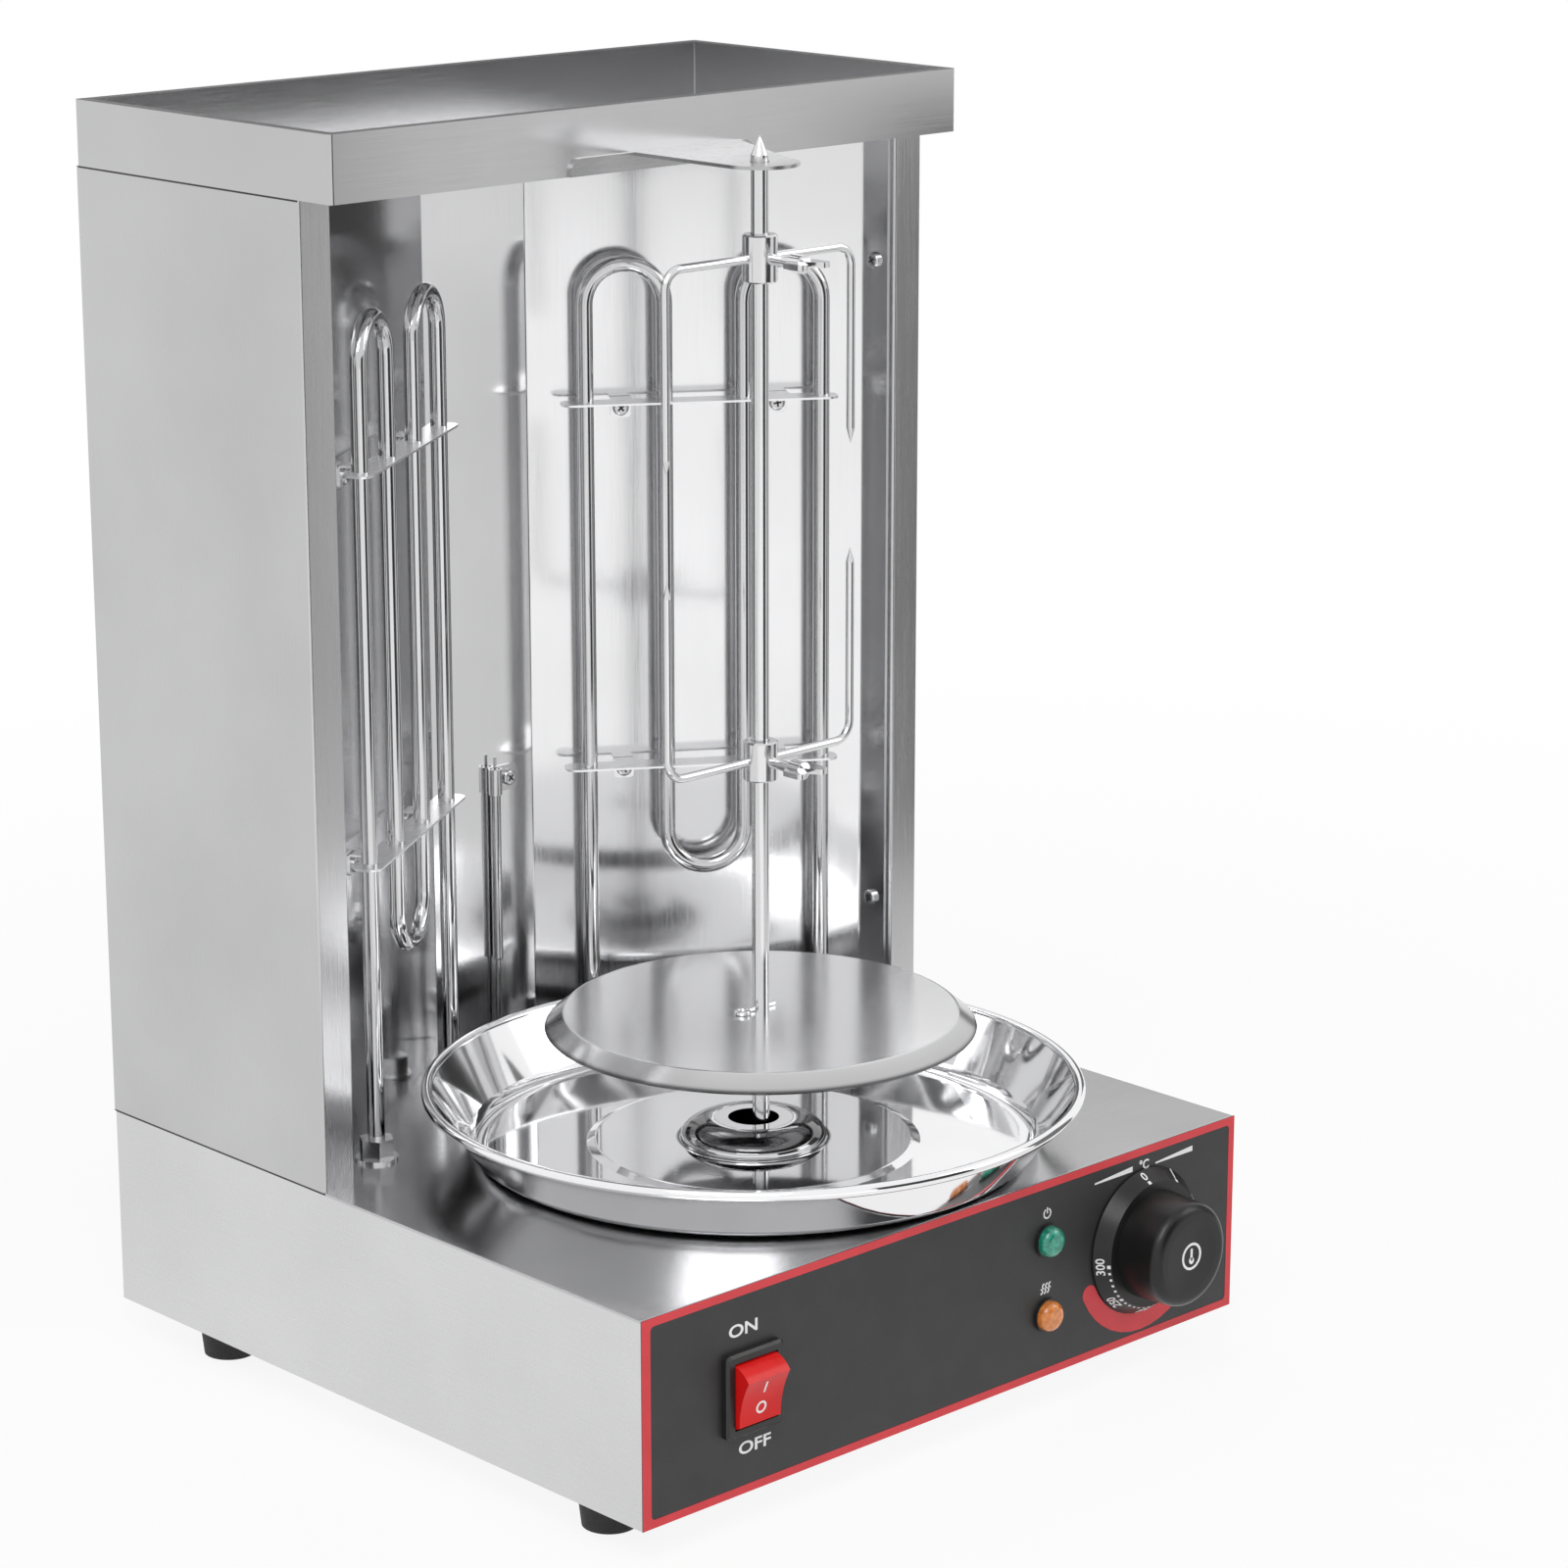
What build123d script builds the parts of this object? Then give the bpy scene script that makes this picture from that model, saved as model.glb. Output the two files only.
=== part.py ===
"""Table-top doner kebab grill: base with control panel, heated tower, turning spit and drip pan.

Frame: millimetres, +Z up, front faces -Y, origin on the table under the middle of the whole object.
"""
import os
from math import atan2, cos, degrees, radians, sin, tan

from build123d import *

# Driving dimensions

# Sheet metal
SHEET = 1.0  # wall of the base, tower and tray
BEND = 1.5  # radius of a fold
EDGE_ROUND = 0.8  # softened edge of the deck
FIT = 0.3  # room left between two folded pieces that slip together
SLIP = 0.05  # radial room of a turning shaft or a screw in its hole

# Base
BASE_W = 380.0
BASE_D = 376.0
BASE_H = 96.0
BASE_LIP = 14.0  # inward fold at the foot of the base walls
FOOT_H = 18.0
FOOT_TOP_R = 14.5
FOOT_LOW_R = 12.5
FOOT_WALL = 4.0  # rubber under the screw head
FOOT_FROM_SIDE = 23.0
FOOT_FROM_FRONT = 47.0
FOOT_FROM_BACK = 55.0
VENT_W = 5.0
VENT_LEN = 60.0
VENT_PITCH = 14.0
VENT_COUNT = 7
COVER_SCREWS_A_SIDE = 3

# Screws, shared by all fixings
SCREW_R = 2.0
SCREW_HEAD_R = 4.0
SCREW_HEAD_H = 2.4
SCREW_HEAD_ROUND = 1.5
SCREW_TAIL = 5.0  # thread past the sheets that it holds

# Tower
TOWER_D = 162.0
TOWER_H = 451.0
TOWER_FLANGE = 18.0  # front face of each side post
TOWER_RETURN = 21.0  # fold that runs back into the cavity
LOW_FIXING_Z = 64.0  # reflector screws above the deck
HIGH_FIXING_Z = 387.0

# Reflector
REFLECTOR_T = 0.8
REFLECTOR_ANGLE = 33.0
REFLECTOR_FLAT = 64.0
REFLECTOR_LAP = 17.0

# Heating elements, measured along the slanted reflector panel and up from the deck
TUBE_R = 4.0
ELEMENT_GAP = 15.5
ELEMENT_START = 23.5
ELEMENT_END = 26.4  # last leg to the inner end of the panel
ELEMENT_TOP = 394.0
ELEMENT_LOW = 84.0
TERMINAL_DROP = 26.0
NUT_FLATS = 14.5
NUT_H = 9.0
WASHER_R = 10.0
WASHER_T = 1.4

# Straps that hold the elements off the reflector: flat plates round the tubes
STRAP_W = 14.0
STRAP_T = 1.0
STRAP_CORNER = 5.0
STRAP_START = 8.0  # plate before the first tube's axis
STRAP_END = 12.0  # plate past the last tube's axis
LOW_STRAP_Z = 141.5  # top face of the plate above the deck
HIGH_STRAP_Z = 323.0
LUG_W = 10.0
LUG_H = 10.5
LUG_SCREW = 5.5  # screw below the plate's top face
LUG_CORNER = 2.0

# Sensing bulb of the thermostat
BULB_R = 2.6
BULB_ROUND = 1.3
BULB_TAIL_R = 0.7
BULB_TAIL = 6.0
CAPILLARY_R = 1.3
BULB_LOW = 45.0
BULB_LEN = 98.0
BULB_X = 5.0
CLIP_T = 0.8
CLIP_H = 13.0
CLIP_REACH = 10.5
CLIP_EAR = 6.5  # clip past the screw's axis
CLIP_CORNER = 4.0

# Top tray and spit bracket
TRAY_D = 185.0
TRAY_H = 30.0
TRAY_LIP = 5.0  # hem folded back inside the rim
TRAY_CORNER = 2.0
BRACKET_W = 112.0
BRACKET_DROP = 8.0
BRACKET_T = 1.6
BRACKET_EYE_R = 18.0
EYE_ROOM = 0.4

# Spit
SPIT_BEFORE_TOWER = 87.0
SPIT_R = 4.0
SPIT_TIP = 12.0  # rod that stands above the bracket
SPIT_POINT = 9.0
TANG_W = 5.0
TANG_LEN = 14.0
TANG_ROOM = 0.15
TANG_CHAMFER = 0.5

# Meat disc
DISC_R = 92.0
DISC_SKIRT_R = 100.5
DISC_SKIRT_H = 7.0
DISC_T = 1.2
DISC_ABOVE_DECK = 66.0
STOP_R = 8.0
STOP_H = 6.0
SPLIT_PIN_R = 1.0
SPLIT_PIN_LEN = 17.0
SPLIT_PIN_EYE_R = 3.2

# Fork clamps
COLLAR_R = 8.0
COLLAR_ROOM = 0.3
COLLAR_CHAMFER = 0.75
UPPER_COLLAR_H = 21.5
UPPER_COLLAR_Z = 405.5  # foot of the collar above the deck
LOWER_COLLAR_H = 18.5
LOWER_COLLAR_Z = 176.5
FORK_WIRE_R = 2.0
FORK_HALF = 57.0
FORK_BEND = 9.0
PRONG_LEN = 84.0
PRONG_POINT = 7.0
THUMB_R = 2.5
THUMB_REACH = 36.0
WING_SPAN = 19.0
WING_H = 11.0
WING_T = 2.4
WING_TIP = 4.7  # from the screw axis to the inner edge of a wing tip
WING_ROUND = 1.9
WING_BOSS_R = 4.2
WING_BOSS_H = 7.0

# Drip pan
PAN_RIM_R = 155.0
PAN_FLOOR_R = 131.0
PAN_DEPTH = 31.0
PAN_T = 1.0
PAN_ROLL_R = 2.6
PAN_CORNER = 12.0
PAN_BOSS_FOOT_R = 34.0
PAN_BOSS_TOP_R = 20.0
PAN_BOSS_H = 11.0
PAN_BOSS_ROUND = 5.0
PAN_HOLE_R = 12.0
PAN_STEP_R = 74.0  # pressed step in the floor
PAN_STEP_W = 4.0
PAN_STEP_H = 1.5
PAN_BEHIND_SPIT = 5.0

# Spit drive
HUB_R = 6.0
HUB_ABOVE_DECK = 5.0
HUB_LEN = 34.0
HUB_ROOM = 1.5
HUB_CHAMFER = 0.75
MOTOR_SHAFT_R = 3.5
MOTOR_SHAFT_GRIP = 12.0
MOTOR_SHAFT_SEAT = 3.5  # foot of the shaft above the gearbox floor
MOTOR_R = 30.0
MOTOR_H = 26.0
MOTOR_ROUND = 1.5
GEARBOX_W = 52.0
GEARBOX_H = 14.0
GEARBOX_CORNER = 3.8
MOTOR_SCREW_INSET = 7.6
BRACKET_FOOT = 16.0
BRACKET_ROOM = 3.0  # gearbox to the hanging walls of its bracket
MOTOR_PLATE_T = 1.5

# Front panel and controls, placed in from the sides and up from the base's lower edge
OVERLAY_T = 0.4
PANEL_LIP = 12.0
SWITCH_FROM_SIDE = 63.0
SWITCH_Z = 48.0
BEZEL_W = 34.0
BEZEL_H = 39.0
BEZEL_T = 4.0
BEZEL_CORNER = 2.5
BEZEL_CHAMFER = 1.2
ROCKER_W = 24.5
ROCKER_H = 30.0
ROCKER_ROOM = 0.5
ROCKER_TILT = 15.0  # either way from level
ROCKER_FACE = 9.5  # face in front of the pivot
ROCKER_BACK = 5.0
ROCKER_DISH = 1.5  # hollow of the face
TRUNNION_R = 1.5
TRUNNION_LEN = 1.3
SWITCH_BODY_W = 27.5
SWITCH_BODY_H = 33.0
SWITCH_BODY_D = 26.0
SWITCH_WALL = 1.4
LAMP_BEFORE_DIAL = 66.0
POWER_LAMP_Z = 67.0
HEAT_LAMP_Z = 30.5
LAMP_R = 5.0
LENS_R = 7.2
LENS_H = 5.0
LENS_ROUND = 3.5
LAMP_RIM_R = 8.0
LAMP_RIM_H = 1.6
LAMP_BODY_LEN = 22.0
DIAL_FROM_SIDE = 64.0
DIAL_Z = 50.0
SKIRT_R = 35.5
SKIRT_TOP_R = 30.5
SKIRT_H = 7.0
SKIRT_T = 2.0
SKIRT_GAP = 1.1
CAP_R = 26.0
CAP_FACE_R = 24.8
CAP_H = 23.0
CAP_ROUND = 5.0
CAP_DISH_R = 17.0
CAP_DISH = 0.8
HUB_OF_CAP_R = 8.0
DIAL_SHAFT_R = 3.0
DIAL_SHAFT_GRIP = 14.0
THERMOSTAT_R = 22.0
THERMOSTAT_D = 26.0
THERMOSTAT_BUSH_R = 5.0
THERMOSTAT_ROUND = 1.5
THERMOSTAT_SHAFT_SEAT = 13.0

# Rear cord entry
GLAND_FROM_SIDE = 70.0
GLAND_Z = 40.0
GLAND_BORE_R = 4.0
GLAND_THREAD_R = 8.0
GLAND_FLATS = 22.0
GLAND_HEX_H = 5.0
GLAND_DOME_R = 9.5
GLAND_DOME_H = 12.0
GLAND_LIP = 1.5  # flat ring left round the bore
GLAND_THREAD_PAST = 1.5  # thread past the nut
GLAND_NUT_H = 5.0
TERMINALS = 3
TERMINAL_PITCH = 12.0
TERMINAL_WALL = 1.5
TERMINAL_D = 22.0
TERMINAL_H = 18.0
TERMINAL_FROM_BACK = 60.0

# Places worked out from the dimensions above

KNOB_REACH = OVERLAY_T + SKIRT_GAP + SKIRT_H + CAP_H
GLAND_REACH = GLAND_HEX_H + GLAND_DOME_H
FRONT_Y = (KNOB_REACH - GLAND_REACH - BASE_D) / 2
BACK_Y = FRONT_Y + BASE_D
BASE_Z = FOOT_H
DECK_Z = BASE_Z + BASE_H
TRAY_Z = DECK_Z + TOWER_H
SIDE_X = BASE_W / 2
TOWER_Y = BACK_Y - TOWER_D
TRAY_Y = BACK_Y - TRAY_D
SPIT_Y = TOWER_Y - SPIT_BEFORE_TOWER
PAN_Y = SPIT_Y + PAN_BEHIND_SPIT
UNDER_DECK = DECK_Z - SHEET
SWITCH_X = SWITCH_FROM_SIDE - SIDE_X
DIAL_X = SIDE_X - DIAL_FROM_SIDE
LAMP_X = DIAL_X - LAMP_BEFORE_DIAL
GLAND_X = SIDE_X - GLAND_FROM_SIDE

# Slanted reflector panel: outer corner on the cavity face, then along and out of the left panel
ALONG = (cos(radians(REFLECTOR_ANGLE)), sin(radians(REFLECTOR_ANGLE)), 0)
OUT = (ALONG[1], -ALONG[0], 0)
CORNER_X = SIDE_X - TOWER_FLANGE - REFLECTOR_T
CORNER_Y = TOWER_Y + TOWER_RETURN
FLAT_HALF = REFLECTOR_FLAT / 2
FLAT_Y = CORNER_Y + (CORNER_X - FLAT_HALF) * tan(radians(REFLECTOR_ANGLE))
PANEL_LEN = (CORNER_X - FLAT_HALF) / ALONG[0]
LEFT_PANEL = Plane(origin=(-CORNER_X, CORNER_Y, DECK_Z), x_dir=ALONG, z_dir=OUT)
LEFT_PLAN = Plane(origin=(-CORNER_X, CORNER_Y, DECK_Z), x_dir=ALONG, z_dir=(0, 0, -1))

# Legs of an element: the first and the last pass through the deck, the straps' lugs stand between legs
LEGS = 4
LEG_PITCH = (PANEL_LEN - ELEMENT_START - ELEMENT_END) / (LEGS - 1)
LEG_AT = [ELEMENT_START + leg * LEG_PITCH for leg in range(LEGS)]
LUG_AT = [(LEG_AT[leg] + LEG_AT[leg + 1]) / 2 for leg in (0, LEGS - 2)]
LUG_HOLES = [(at, z - LUG_SCREW) for at in LUG_AT for z in (LOW_STRAP_Z, HIGH_STRAP_Z)]
LEFT_FEET = [LEFT_PANEL.from_local_coords((LEG_AT[leg], 0, ELEMENT_GAP)) for leg in (0, -1)]
DECK_LEGS = [(side * foot.X, foot.Y) for foot in LEFT_FEET for side in (1, -1)]

# Front panel planes look out of the panel, towards -Y
PANEL_FACE = Plane(origin=(0, FRONT_Y, BASE_Z), x_dir=(1, 0, 0), z_dir=(0, -1, 0))
OVERLAY_FACE = PANEL_FACE.offset(OVERLAY_T)
PANEL_BACK = PANEL_FACE.offset(-SHEET)
REAR_FACE = Plane(origin=(0, BACK_Y, BASE_Z), x_dir=(-1, 0, 0), z_dir=(0, 1, 0))
LAMPS = {"power": POWER_LAMP_Z, "heat": HEAT_LAMP_Z}

FOOT_PLACES = [
    (side * (SIDE_X - FOOT_FROM_SIDE), y)
    for side in (1, -1)
    for y in (FRONT_Y + FOOT_FROM_FRONT, BACK_Y - FOOT_FROM_BACK)
]
COVER_SCREW_PLACES = [
    (side * (SIDE_X - BASE_LIP / 2 - SHEET), FRONT_Y + BASE_D * place / (COVER_SCREWS_A_SIDE + 1))
    for side in (1, -1)
    for place in range(1, COVER_SCREWS_A_SIDE + 1)
]


def save(piece, name):
    """Label a finished piece and write it to its own file."""
    piece.part.label = name
    export_step(piece.part, f"parts/{name}.step")


def folded(plane, points, thickness, side, bend=BEND):
    """Section of a folded sheet whose one face runs through the points."""
    with BuildSketch(plane) as section:
        with BuildLine():
            FilletPolyline(*points, radius=bend)
            offset(amount=thickness, side=side)
        make_face()
    return section.sketch


def screw(plane, grip):
    """Round-head screw: head out of the plane, thread through the grip behind it."""
    with BuildPart(plane, mode=Mode.PRIVATE) as fixing:
        with BuildSketch(plane):
            Circle(SCREW_HEAD_R)
        extrude(amount=SCREW_HEAD_H)
        fillet(fixing.edges().group_by(Axis(plane.origin, plane.z_dir))[-1], SCREW_HEAD_ROUND)
        with BuildSketch(plane):
            Circle(SCREW_R - SLIP)
        extrude(amount=-(grip + SCREW_TAIL))
    return fixing.part


os.makedirs("parts", exist_ok=True)

# Base

with BuildPart() as base_deck:
    with BuildSketch(Plane.XY.offset(UNDER_DECK)) as deck_plan:
        with Locations((0, FRONT_Y)):
            Rectangle(BASE_W, BASE_D, align=(Align.CENTER, Align.MIN))
        fillet(deck_plan.vertices().group_by(Axis.Y)[-1], BEND)
    extrude(amount=SHEET)
    fillet(base_deck.faces().sort_by(Axis.Z)[-1].edges(), EDGE_ROUND)
    with BuildSketch(Plane.XY.offset(UNDER_DECK)):
        with Locations((0, SPIT_Y)):
            Circle(HUB_R + HUB_ROOM)
        with Locations(*DECK_LEGS):
            Circle(TUBE_R + SLIP)
        with Locations((BULB_X, FLAT_Y - BULB_R - CLIP_T)):
            Circle(BULB_R + FIT)
    extrude(amount=SHEET, mode=Mode.SUBTRACT)
save(base_deck, "base_deck")

with BuildPart() as base_wrap:
    wrap_front = FRONT_Y + SHEET
    wrap_points = [
        (-SIDE_X, wrap_front),
        (-SIDE_X, BACK_Y),
        (SIDE_X, BACK_Y),
        (SIDE_X, wrap_front),
    ]
    extrude(folded(Plane.XY.offset(BASE_Z), wrap_points, SHEET, Side.RIGHT), amount=BASE_H - SHEET)
    with BuildSketch(Plane.XY.offset(BASE_Z + SHEET)):
        with Locations((0, BACK_Y - SHEET)):
            Rectangle(BASE_W - 2 * SHEET, BASE_D - 2 * SHEET - PANEL_LIP, align=(Align.CENTER, Align.MAX))
        with Locations((0, BACK_Y - BASE_LIP)):
            Rectangle(
                BASE_W - 2 * BASE_LIP,
                BASE_D,
                align=(Align.CENTER, Align.MAX),
                mode=Mode.SUBTRACT,
            )
        with Locations(*COVER_SCREW_PLACES):
            Circle(SCREW_R, mode=Mode.SUBTRACT)
    extrude(amount=SHEET)
    with BuildSketch(REAR_FACE):
        with Locations((-GLAND_X, GLAND_Z)):
            Circle(GLAND_THREAD_R + SLIP)
    extrude(amount=-SHEET, mode=Mode.SUBTRACT)
save(base_wrap, "base_wrap")

with BuildPart() as bottom_plate:
    with BuildSketch(Plane.XY.offset(BASE_Z)):
        with Locations((0, FRONT_Y + SHEET + FIT)):
            Rectangle(
                BASE_W - 2 * SHEET - 2 * FIT,
                BASE_D - 2 * SHEET - 2 * FIT,
                align=(Align.CENTER, Align.MIN),
            )
        with Locations(*FOOT_PLACES, *COVER_SCREW_PLACES):
            Circle(SCREW_R, mode=Mode.SUBTRACT)
        with Locations((0, PAN_Y)):
            with GridLocations(VENT_PITCH, 0, VENT_COUNT, 1):
                SlotOverall(VENT_LEN, VENT_W, rotation=90, mode=Mode.SUBTRACT)
    extrude(amount=SHEET)
save(bottom_plate, "bottom_plate")

with BuildPart() as feet:
    with BuildSketch(Plane.XZ) as foot_section:
        with BuildLine():
            Polyline(
                (SCREW_R, BASE_Z),
                (FOOT_TOP_R, BASE_Z),
                (FOOT_LOW_R, 0),
                (SCREW_HEAD_R + FIT, 0),
                (SCREW_HEAD_R + FIT, BASE_Z - FOOT_WALL),
                (SCREW_R, BASE_Z - FOOT_WALL),
                close=True,
            )
        make_face()
    with Locations(*FOOT_PLACES):
        add(revolve(foot_section.sketch, axis=Axis.Z, mode=Mode.PRIVATE))
save(feet, "feet")

with BuildPart() as foot_screws:
    for x, y in FOOT_PLACES:
        add(screw(Plane(origin=(x, y, BASE_Z - FOOT_WALL), z_dir=(0, 0, -1)), FOOT_WALL + SHEET))
save(foot_screws, "foot_screws")

with BuildPart() as cover_screws:
    for x, y in COVER_SCREW_PLACES:
        add(screw(Plane(origin=(x, y, BASE_Z), z_dir=(0, 0, -1)), 2 * SHEET))
save(cover_screws, "cover_screws")

# Tower

with BuildPart() as tower_left_side:
    side_points = [
        (-SIDE_X, BACK_Y - SHEET),
        (-SIDE_X, TOWER_Y),
        (-SIDE_X + TOWER_FLANGE, TOWER_Y),
        (-SIDE_X + TOWER_FLANGE, CORNER_Y),
    ]
    extrude(folded(Plane.XY.offset(DECK_Z), side_points, SHEET, Side.LEFT), amount=TOWER_H)
    for z in (LOW_FIXING_Z, HIGH_FIXING_Z):
        fixing_plane = Plane(
            origin=(-SIDE_X + TOWER_FLANGE, TOWER_Y + TOWER_RETURN - REFLECTOR_LAP / 2, DECK_Z + z),
            z_dir=(1, 0, 0),
        )
        with BuildSketch(fixing_plane):
            Circle(SCREW_R)
        extrude(amount=-SHEET, mode=Mode.SUBTRACT)
save(tower_left_side, "tower_left_side")

with BuildPart() as tower_right_side:
    mirror(tower_left_side.part, about=Plane.YZ)
save(tower_right_side, "tower_right_side")

with BuildPart() as tower_back:
    with BuildSketch(Plane.XY.offset(DECK_Z)):
        with Locations((0, BACK_Y)):
            Rectangle(BASE_W, SHEET, align=(Align.CENTER, Align.MAX))
    extrude(amount=TOWER_H)
save(tower_back, "tower_back")

with BuildPart() as reflector:
    half_points = [
        (-CORNER_X, CORNER_Y - REFLECTOR_LAP),
        (-CORNER_X, CORNER_Y),
        (-FLAT_HALF, FLAT_Y),
    ]
    reflector_points = half_points + [(-x, y) for x, y in reversed(half_points)]
    extrude(folded(Plane.XY.offset(DECK_Z), reflector_points, REFLECTOR_T, Side.LEFT), amount=TOWER_H)
    for side in (1, -1):
        for z in (LOW_FIXING_Z, HIGH_FIXING_Z):
            lap_plane = Plane(
                origin=(side * CORNER_X, CORNER_Y - REFLECTOR_LAP / 2, DECK_Z + z),
                z_dir=(-side, 0, 0),
            )
            with BuildSketch(lap_plane):
                Circle(SCREW_R)
            extrude(amount=-REFLECTOR_T, mode=Mode.SUBTRACT)
    with BuildSketch(Plane(origin=(0, FLAT_Y, DECK_Z), x_dir=(1, 0, 0), z_dir=(0, -1, 0))):
        with Locations((BULB_X + CLIP_REACH, BULB_LOW + BULB_LEN - CLIP_H / 2)):
            Circle(SCREW_R)
    extrude(amount=-REFLECTOR_T, mode=Mode.SUBTRACT)
    with BuildSketch(LEFT_PANEL) as strap_holes:
        with Locations(*LUG_HOLES):
            Circle(SCREW_R)
    left_holes = extrude(strap_holes.sketch, amount=-REFLECTOR_T, mode=Mode.SUBTRACT)
    mirror(left_holes, about=Plane.YZ, mode=Mode.SUBTRACT)
save(reflector, "reflector")

with BuildPart() as reflector_screws:
    for side in (1, -1):
        for z in (LOW_FIXING_Z, HIGH_FIXING_Z):
            head_plane = Plane(
                origin=(side * CORNER_X, CORNER_Y - REFLECTOR_LAP / 2, DECK_Z + z),
                z_dir=(-side, 0, 0),
            )
            add(screw(head_plane, REFLECTOR_T + SHEET))
save(reflector_screws, "reflector_screws")

# Heating elements

with BuildPart() as left_element:
    with BuildLine(LEFT_PANEL.offset(ELEMENT_GAP)) as tube_path:
        bend_r = LEG_PITCH / 2
        high = ELEMENT_TOP - TUBE_R - bend_r
        low = ELEMENT_LOW + TUBE_R + bend_r
        foot = -SHEET - TERMINAL_DROP
        Line((LEG_AT[0], foot), (LEG_AT[0], high))
        CenterArc((LEG_AT[0] + bend_r, high), bend_r, 180, -180)
        Line((LEG_AT[1], high), (LEG_AT[1], low))
        CenterArc((LEG_AT[1] + bend_r, low), bend_r, 180, 180)
        Line((LEG_AT[2], low), (LEG_AT[2], high))
        CenterArc((LEG_AT[2] + bend_r, high), bend_r, 180, -180)
        Line((LEG_AT[3], high), (LEG_AT[3], foot))
    with BuildSketch(Plane(origin=tube_path.line @ 0, z_dir=(0, 0, 1))):
        Circle(TUBE_R)
    sweep(path=tube_path.line)
save(left_element, "left_element")

with BuildPart() as right_element:
    mirror(left_element.part, about=Plane.YZ)
save(right_element, "right_element")

with BuildPart() as element_washers:
    with BuildSketch(Plane.XY.offset(DECK_Z)):
        with Locations(*DECK_LEGS):
            Circle(WASHER_R)
            Circle(TUBE_R + SLIP, mode=Mode.SUBTRACT)
    extrude(amount=WASHER_T)
save(element_washers, "element_washers")

with BuildPart() as element_nuts:
    with BuildSketch(Plane.XY.offset(DECK_Z + WASHER_T)):
        with Locations(*DECK_LEGS):
            RegularPolygon(NUT_FLATS / 2, 6, major_radius=False)
            Circle(TUBE_R + SLIP, mode=Mode.SUBTRACT)
    extrude(amount=NUT_H)
save(element_nuts, "element_nuts")


def strap(z):
    """Left strap at a height above the deck: a plate round the tubes, two lugs turned down the reflector."""
    first = LEG_AT[0] - STRAP_START
    last = LEG_AT[-1] + STRAP_END
    back = ELEMENT_GAP - STRAP_W / 2
    with BuildPart() as plate:
        with BuildSketch(LEFT_PLAN.offset(-z)):
            with Locations(((first + last) / 2, ELEMENT_GAP)):
                RectangleRounded(last - first, STRAP_W, STRAP_CORNER)
            with Locations(*[(leg, ELEMENT_GAP) for leg in LEG_AT]):
                Circle(TUBE_R + SLIP, mode=Mode.SUBTRACT)
        extrude(amount=STRAP_T)
        for at in LUG_AT:
            lug_root = LEFT_PANEL.from_local_coords((at, z, 0))
            lug_plane = Plane(origin=lug_root, x_dir=OUT, z_dir=ALONG)
            section = folded(lug_plane, [(back + STRAP_T, 0), (0, 0), (0, LUG_H)], STRAP_T, Side.RIGHT)
            extrude(section, amount=LUG_W / 2, both=True)
        fillet(plate.edges().filter_by(Axis((0, 0, 0), OUT)).group_by(Axis.Z)[0], LUG_CORNER)
        with BuildSketch(LEFT_PANEL):
            with Locations(*[(at, z - LUG_SCREW) for at in LUG_AT]):
                Circle(SCREW_R)
        extrude(amount=STRAP_T, mode=Mode.SUBTRACT)
    return plate.part


for name, z in {"lower": LOW_STRAP_Z, "upper": HIGH_STRAP_Z}.items():
    with BuildPart() as left_strap:
        add(strap(z))
    save(left_strap, f"left_{name}_strap")
    with BuildPart() as right_strap:
        mirror(left_strap.part, about=Plane.YZ)
    save(right_strap, f"right_{name}_strap")

with BuildPart() as strap_screws:
    for at, height in LUG_HOLES:
        seat = LEFT_PANEL.from_local_coords((at, height, STRAP_T))
        left_screw = screw(Plane(origin=seat, x_dir=ALONG, z_dir=OUT), STRAP_T + REFLECTOR_T)
        add(left_screw)
        mirror(left_screw, about=Plane.YZ)
save(strap_screws, "strap_screws")

# Thermostat sensing bulb, clipped to the flat of the reflector

BULB_Y = FLAT_Y - CLIP_T - BULB_R
CLIP_Z = DECK_Z + BULB_LOW + BULB_LEN - CLIP_H / 2

with BuildPart() as sensor_bulb:
    with BuildSketch(Plane(origin=(BULB_X, BULB_Y, DECK_Z + BULB_LOW))):
        Circle(BULB_R)
    extrude(amount=BULB_LEN)
    fillet(sensor_bulb.edges().filter_by(GeomType.CIRCLE), BULB_ROUND)
    with BuildSketch(Plane(origin=(BULB_X, BULB_Y, DECK_Z + BULB_LOW + BULB_LEN))):
        Circle(BULB_TAIL_R)
    extrude(amount=BULB_TAIL)
    with BuildSketch(Plane(origin=(BULB_X, BULB_Y, UNDER_DECK - TERMINAL_DROP))):
        Circle(CAPILLARY_R)
    extrude(amount=SHEET + TERMINAL_DROP + BULB_LOW)
save(sensor_bulb, "sensor_bulb")

with BuildPart() as sensor_clip:
    with BuildSketch(Plane(origin=(BULB_X, FLAT_Y, CLIP_Z))):
        with Locations((0, -CLIP_T - BULB_R)):
            Circle(BULB_R + CLIP_T)
        with Locations((0, 0)):
            Rectangle(CLIP_REACH + CLIP_EAR, CLIP_T, align=(Align.MIN, Align.MAX))
        with Locations((0, -CLIP_T - BULB_R)):
            Circle(BULB_R + SLIP, mode=Mode.SUBTRACT)
    extrude(amount=CLIP_H / 2, both=True)
    fillet(sensor_clip.edges().filter_by(Axis.Y).group_by(Axis.X)[-1], CLIP_CORNER)
    with BuildSketch(Plane(origin=(BULB_X + CLIP_REACH, FLAT_Y, CLIP_Z), z_dir=(0, -1, 0))):
        Circle(SCREW_R)
    extrude(amount=CLIP_T, mode=Mode.SUBTRACT)
save(sensor_clip, "sensor_clip")

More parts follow.
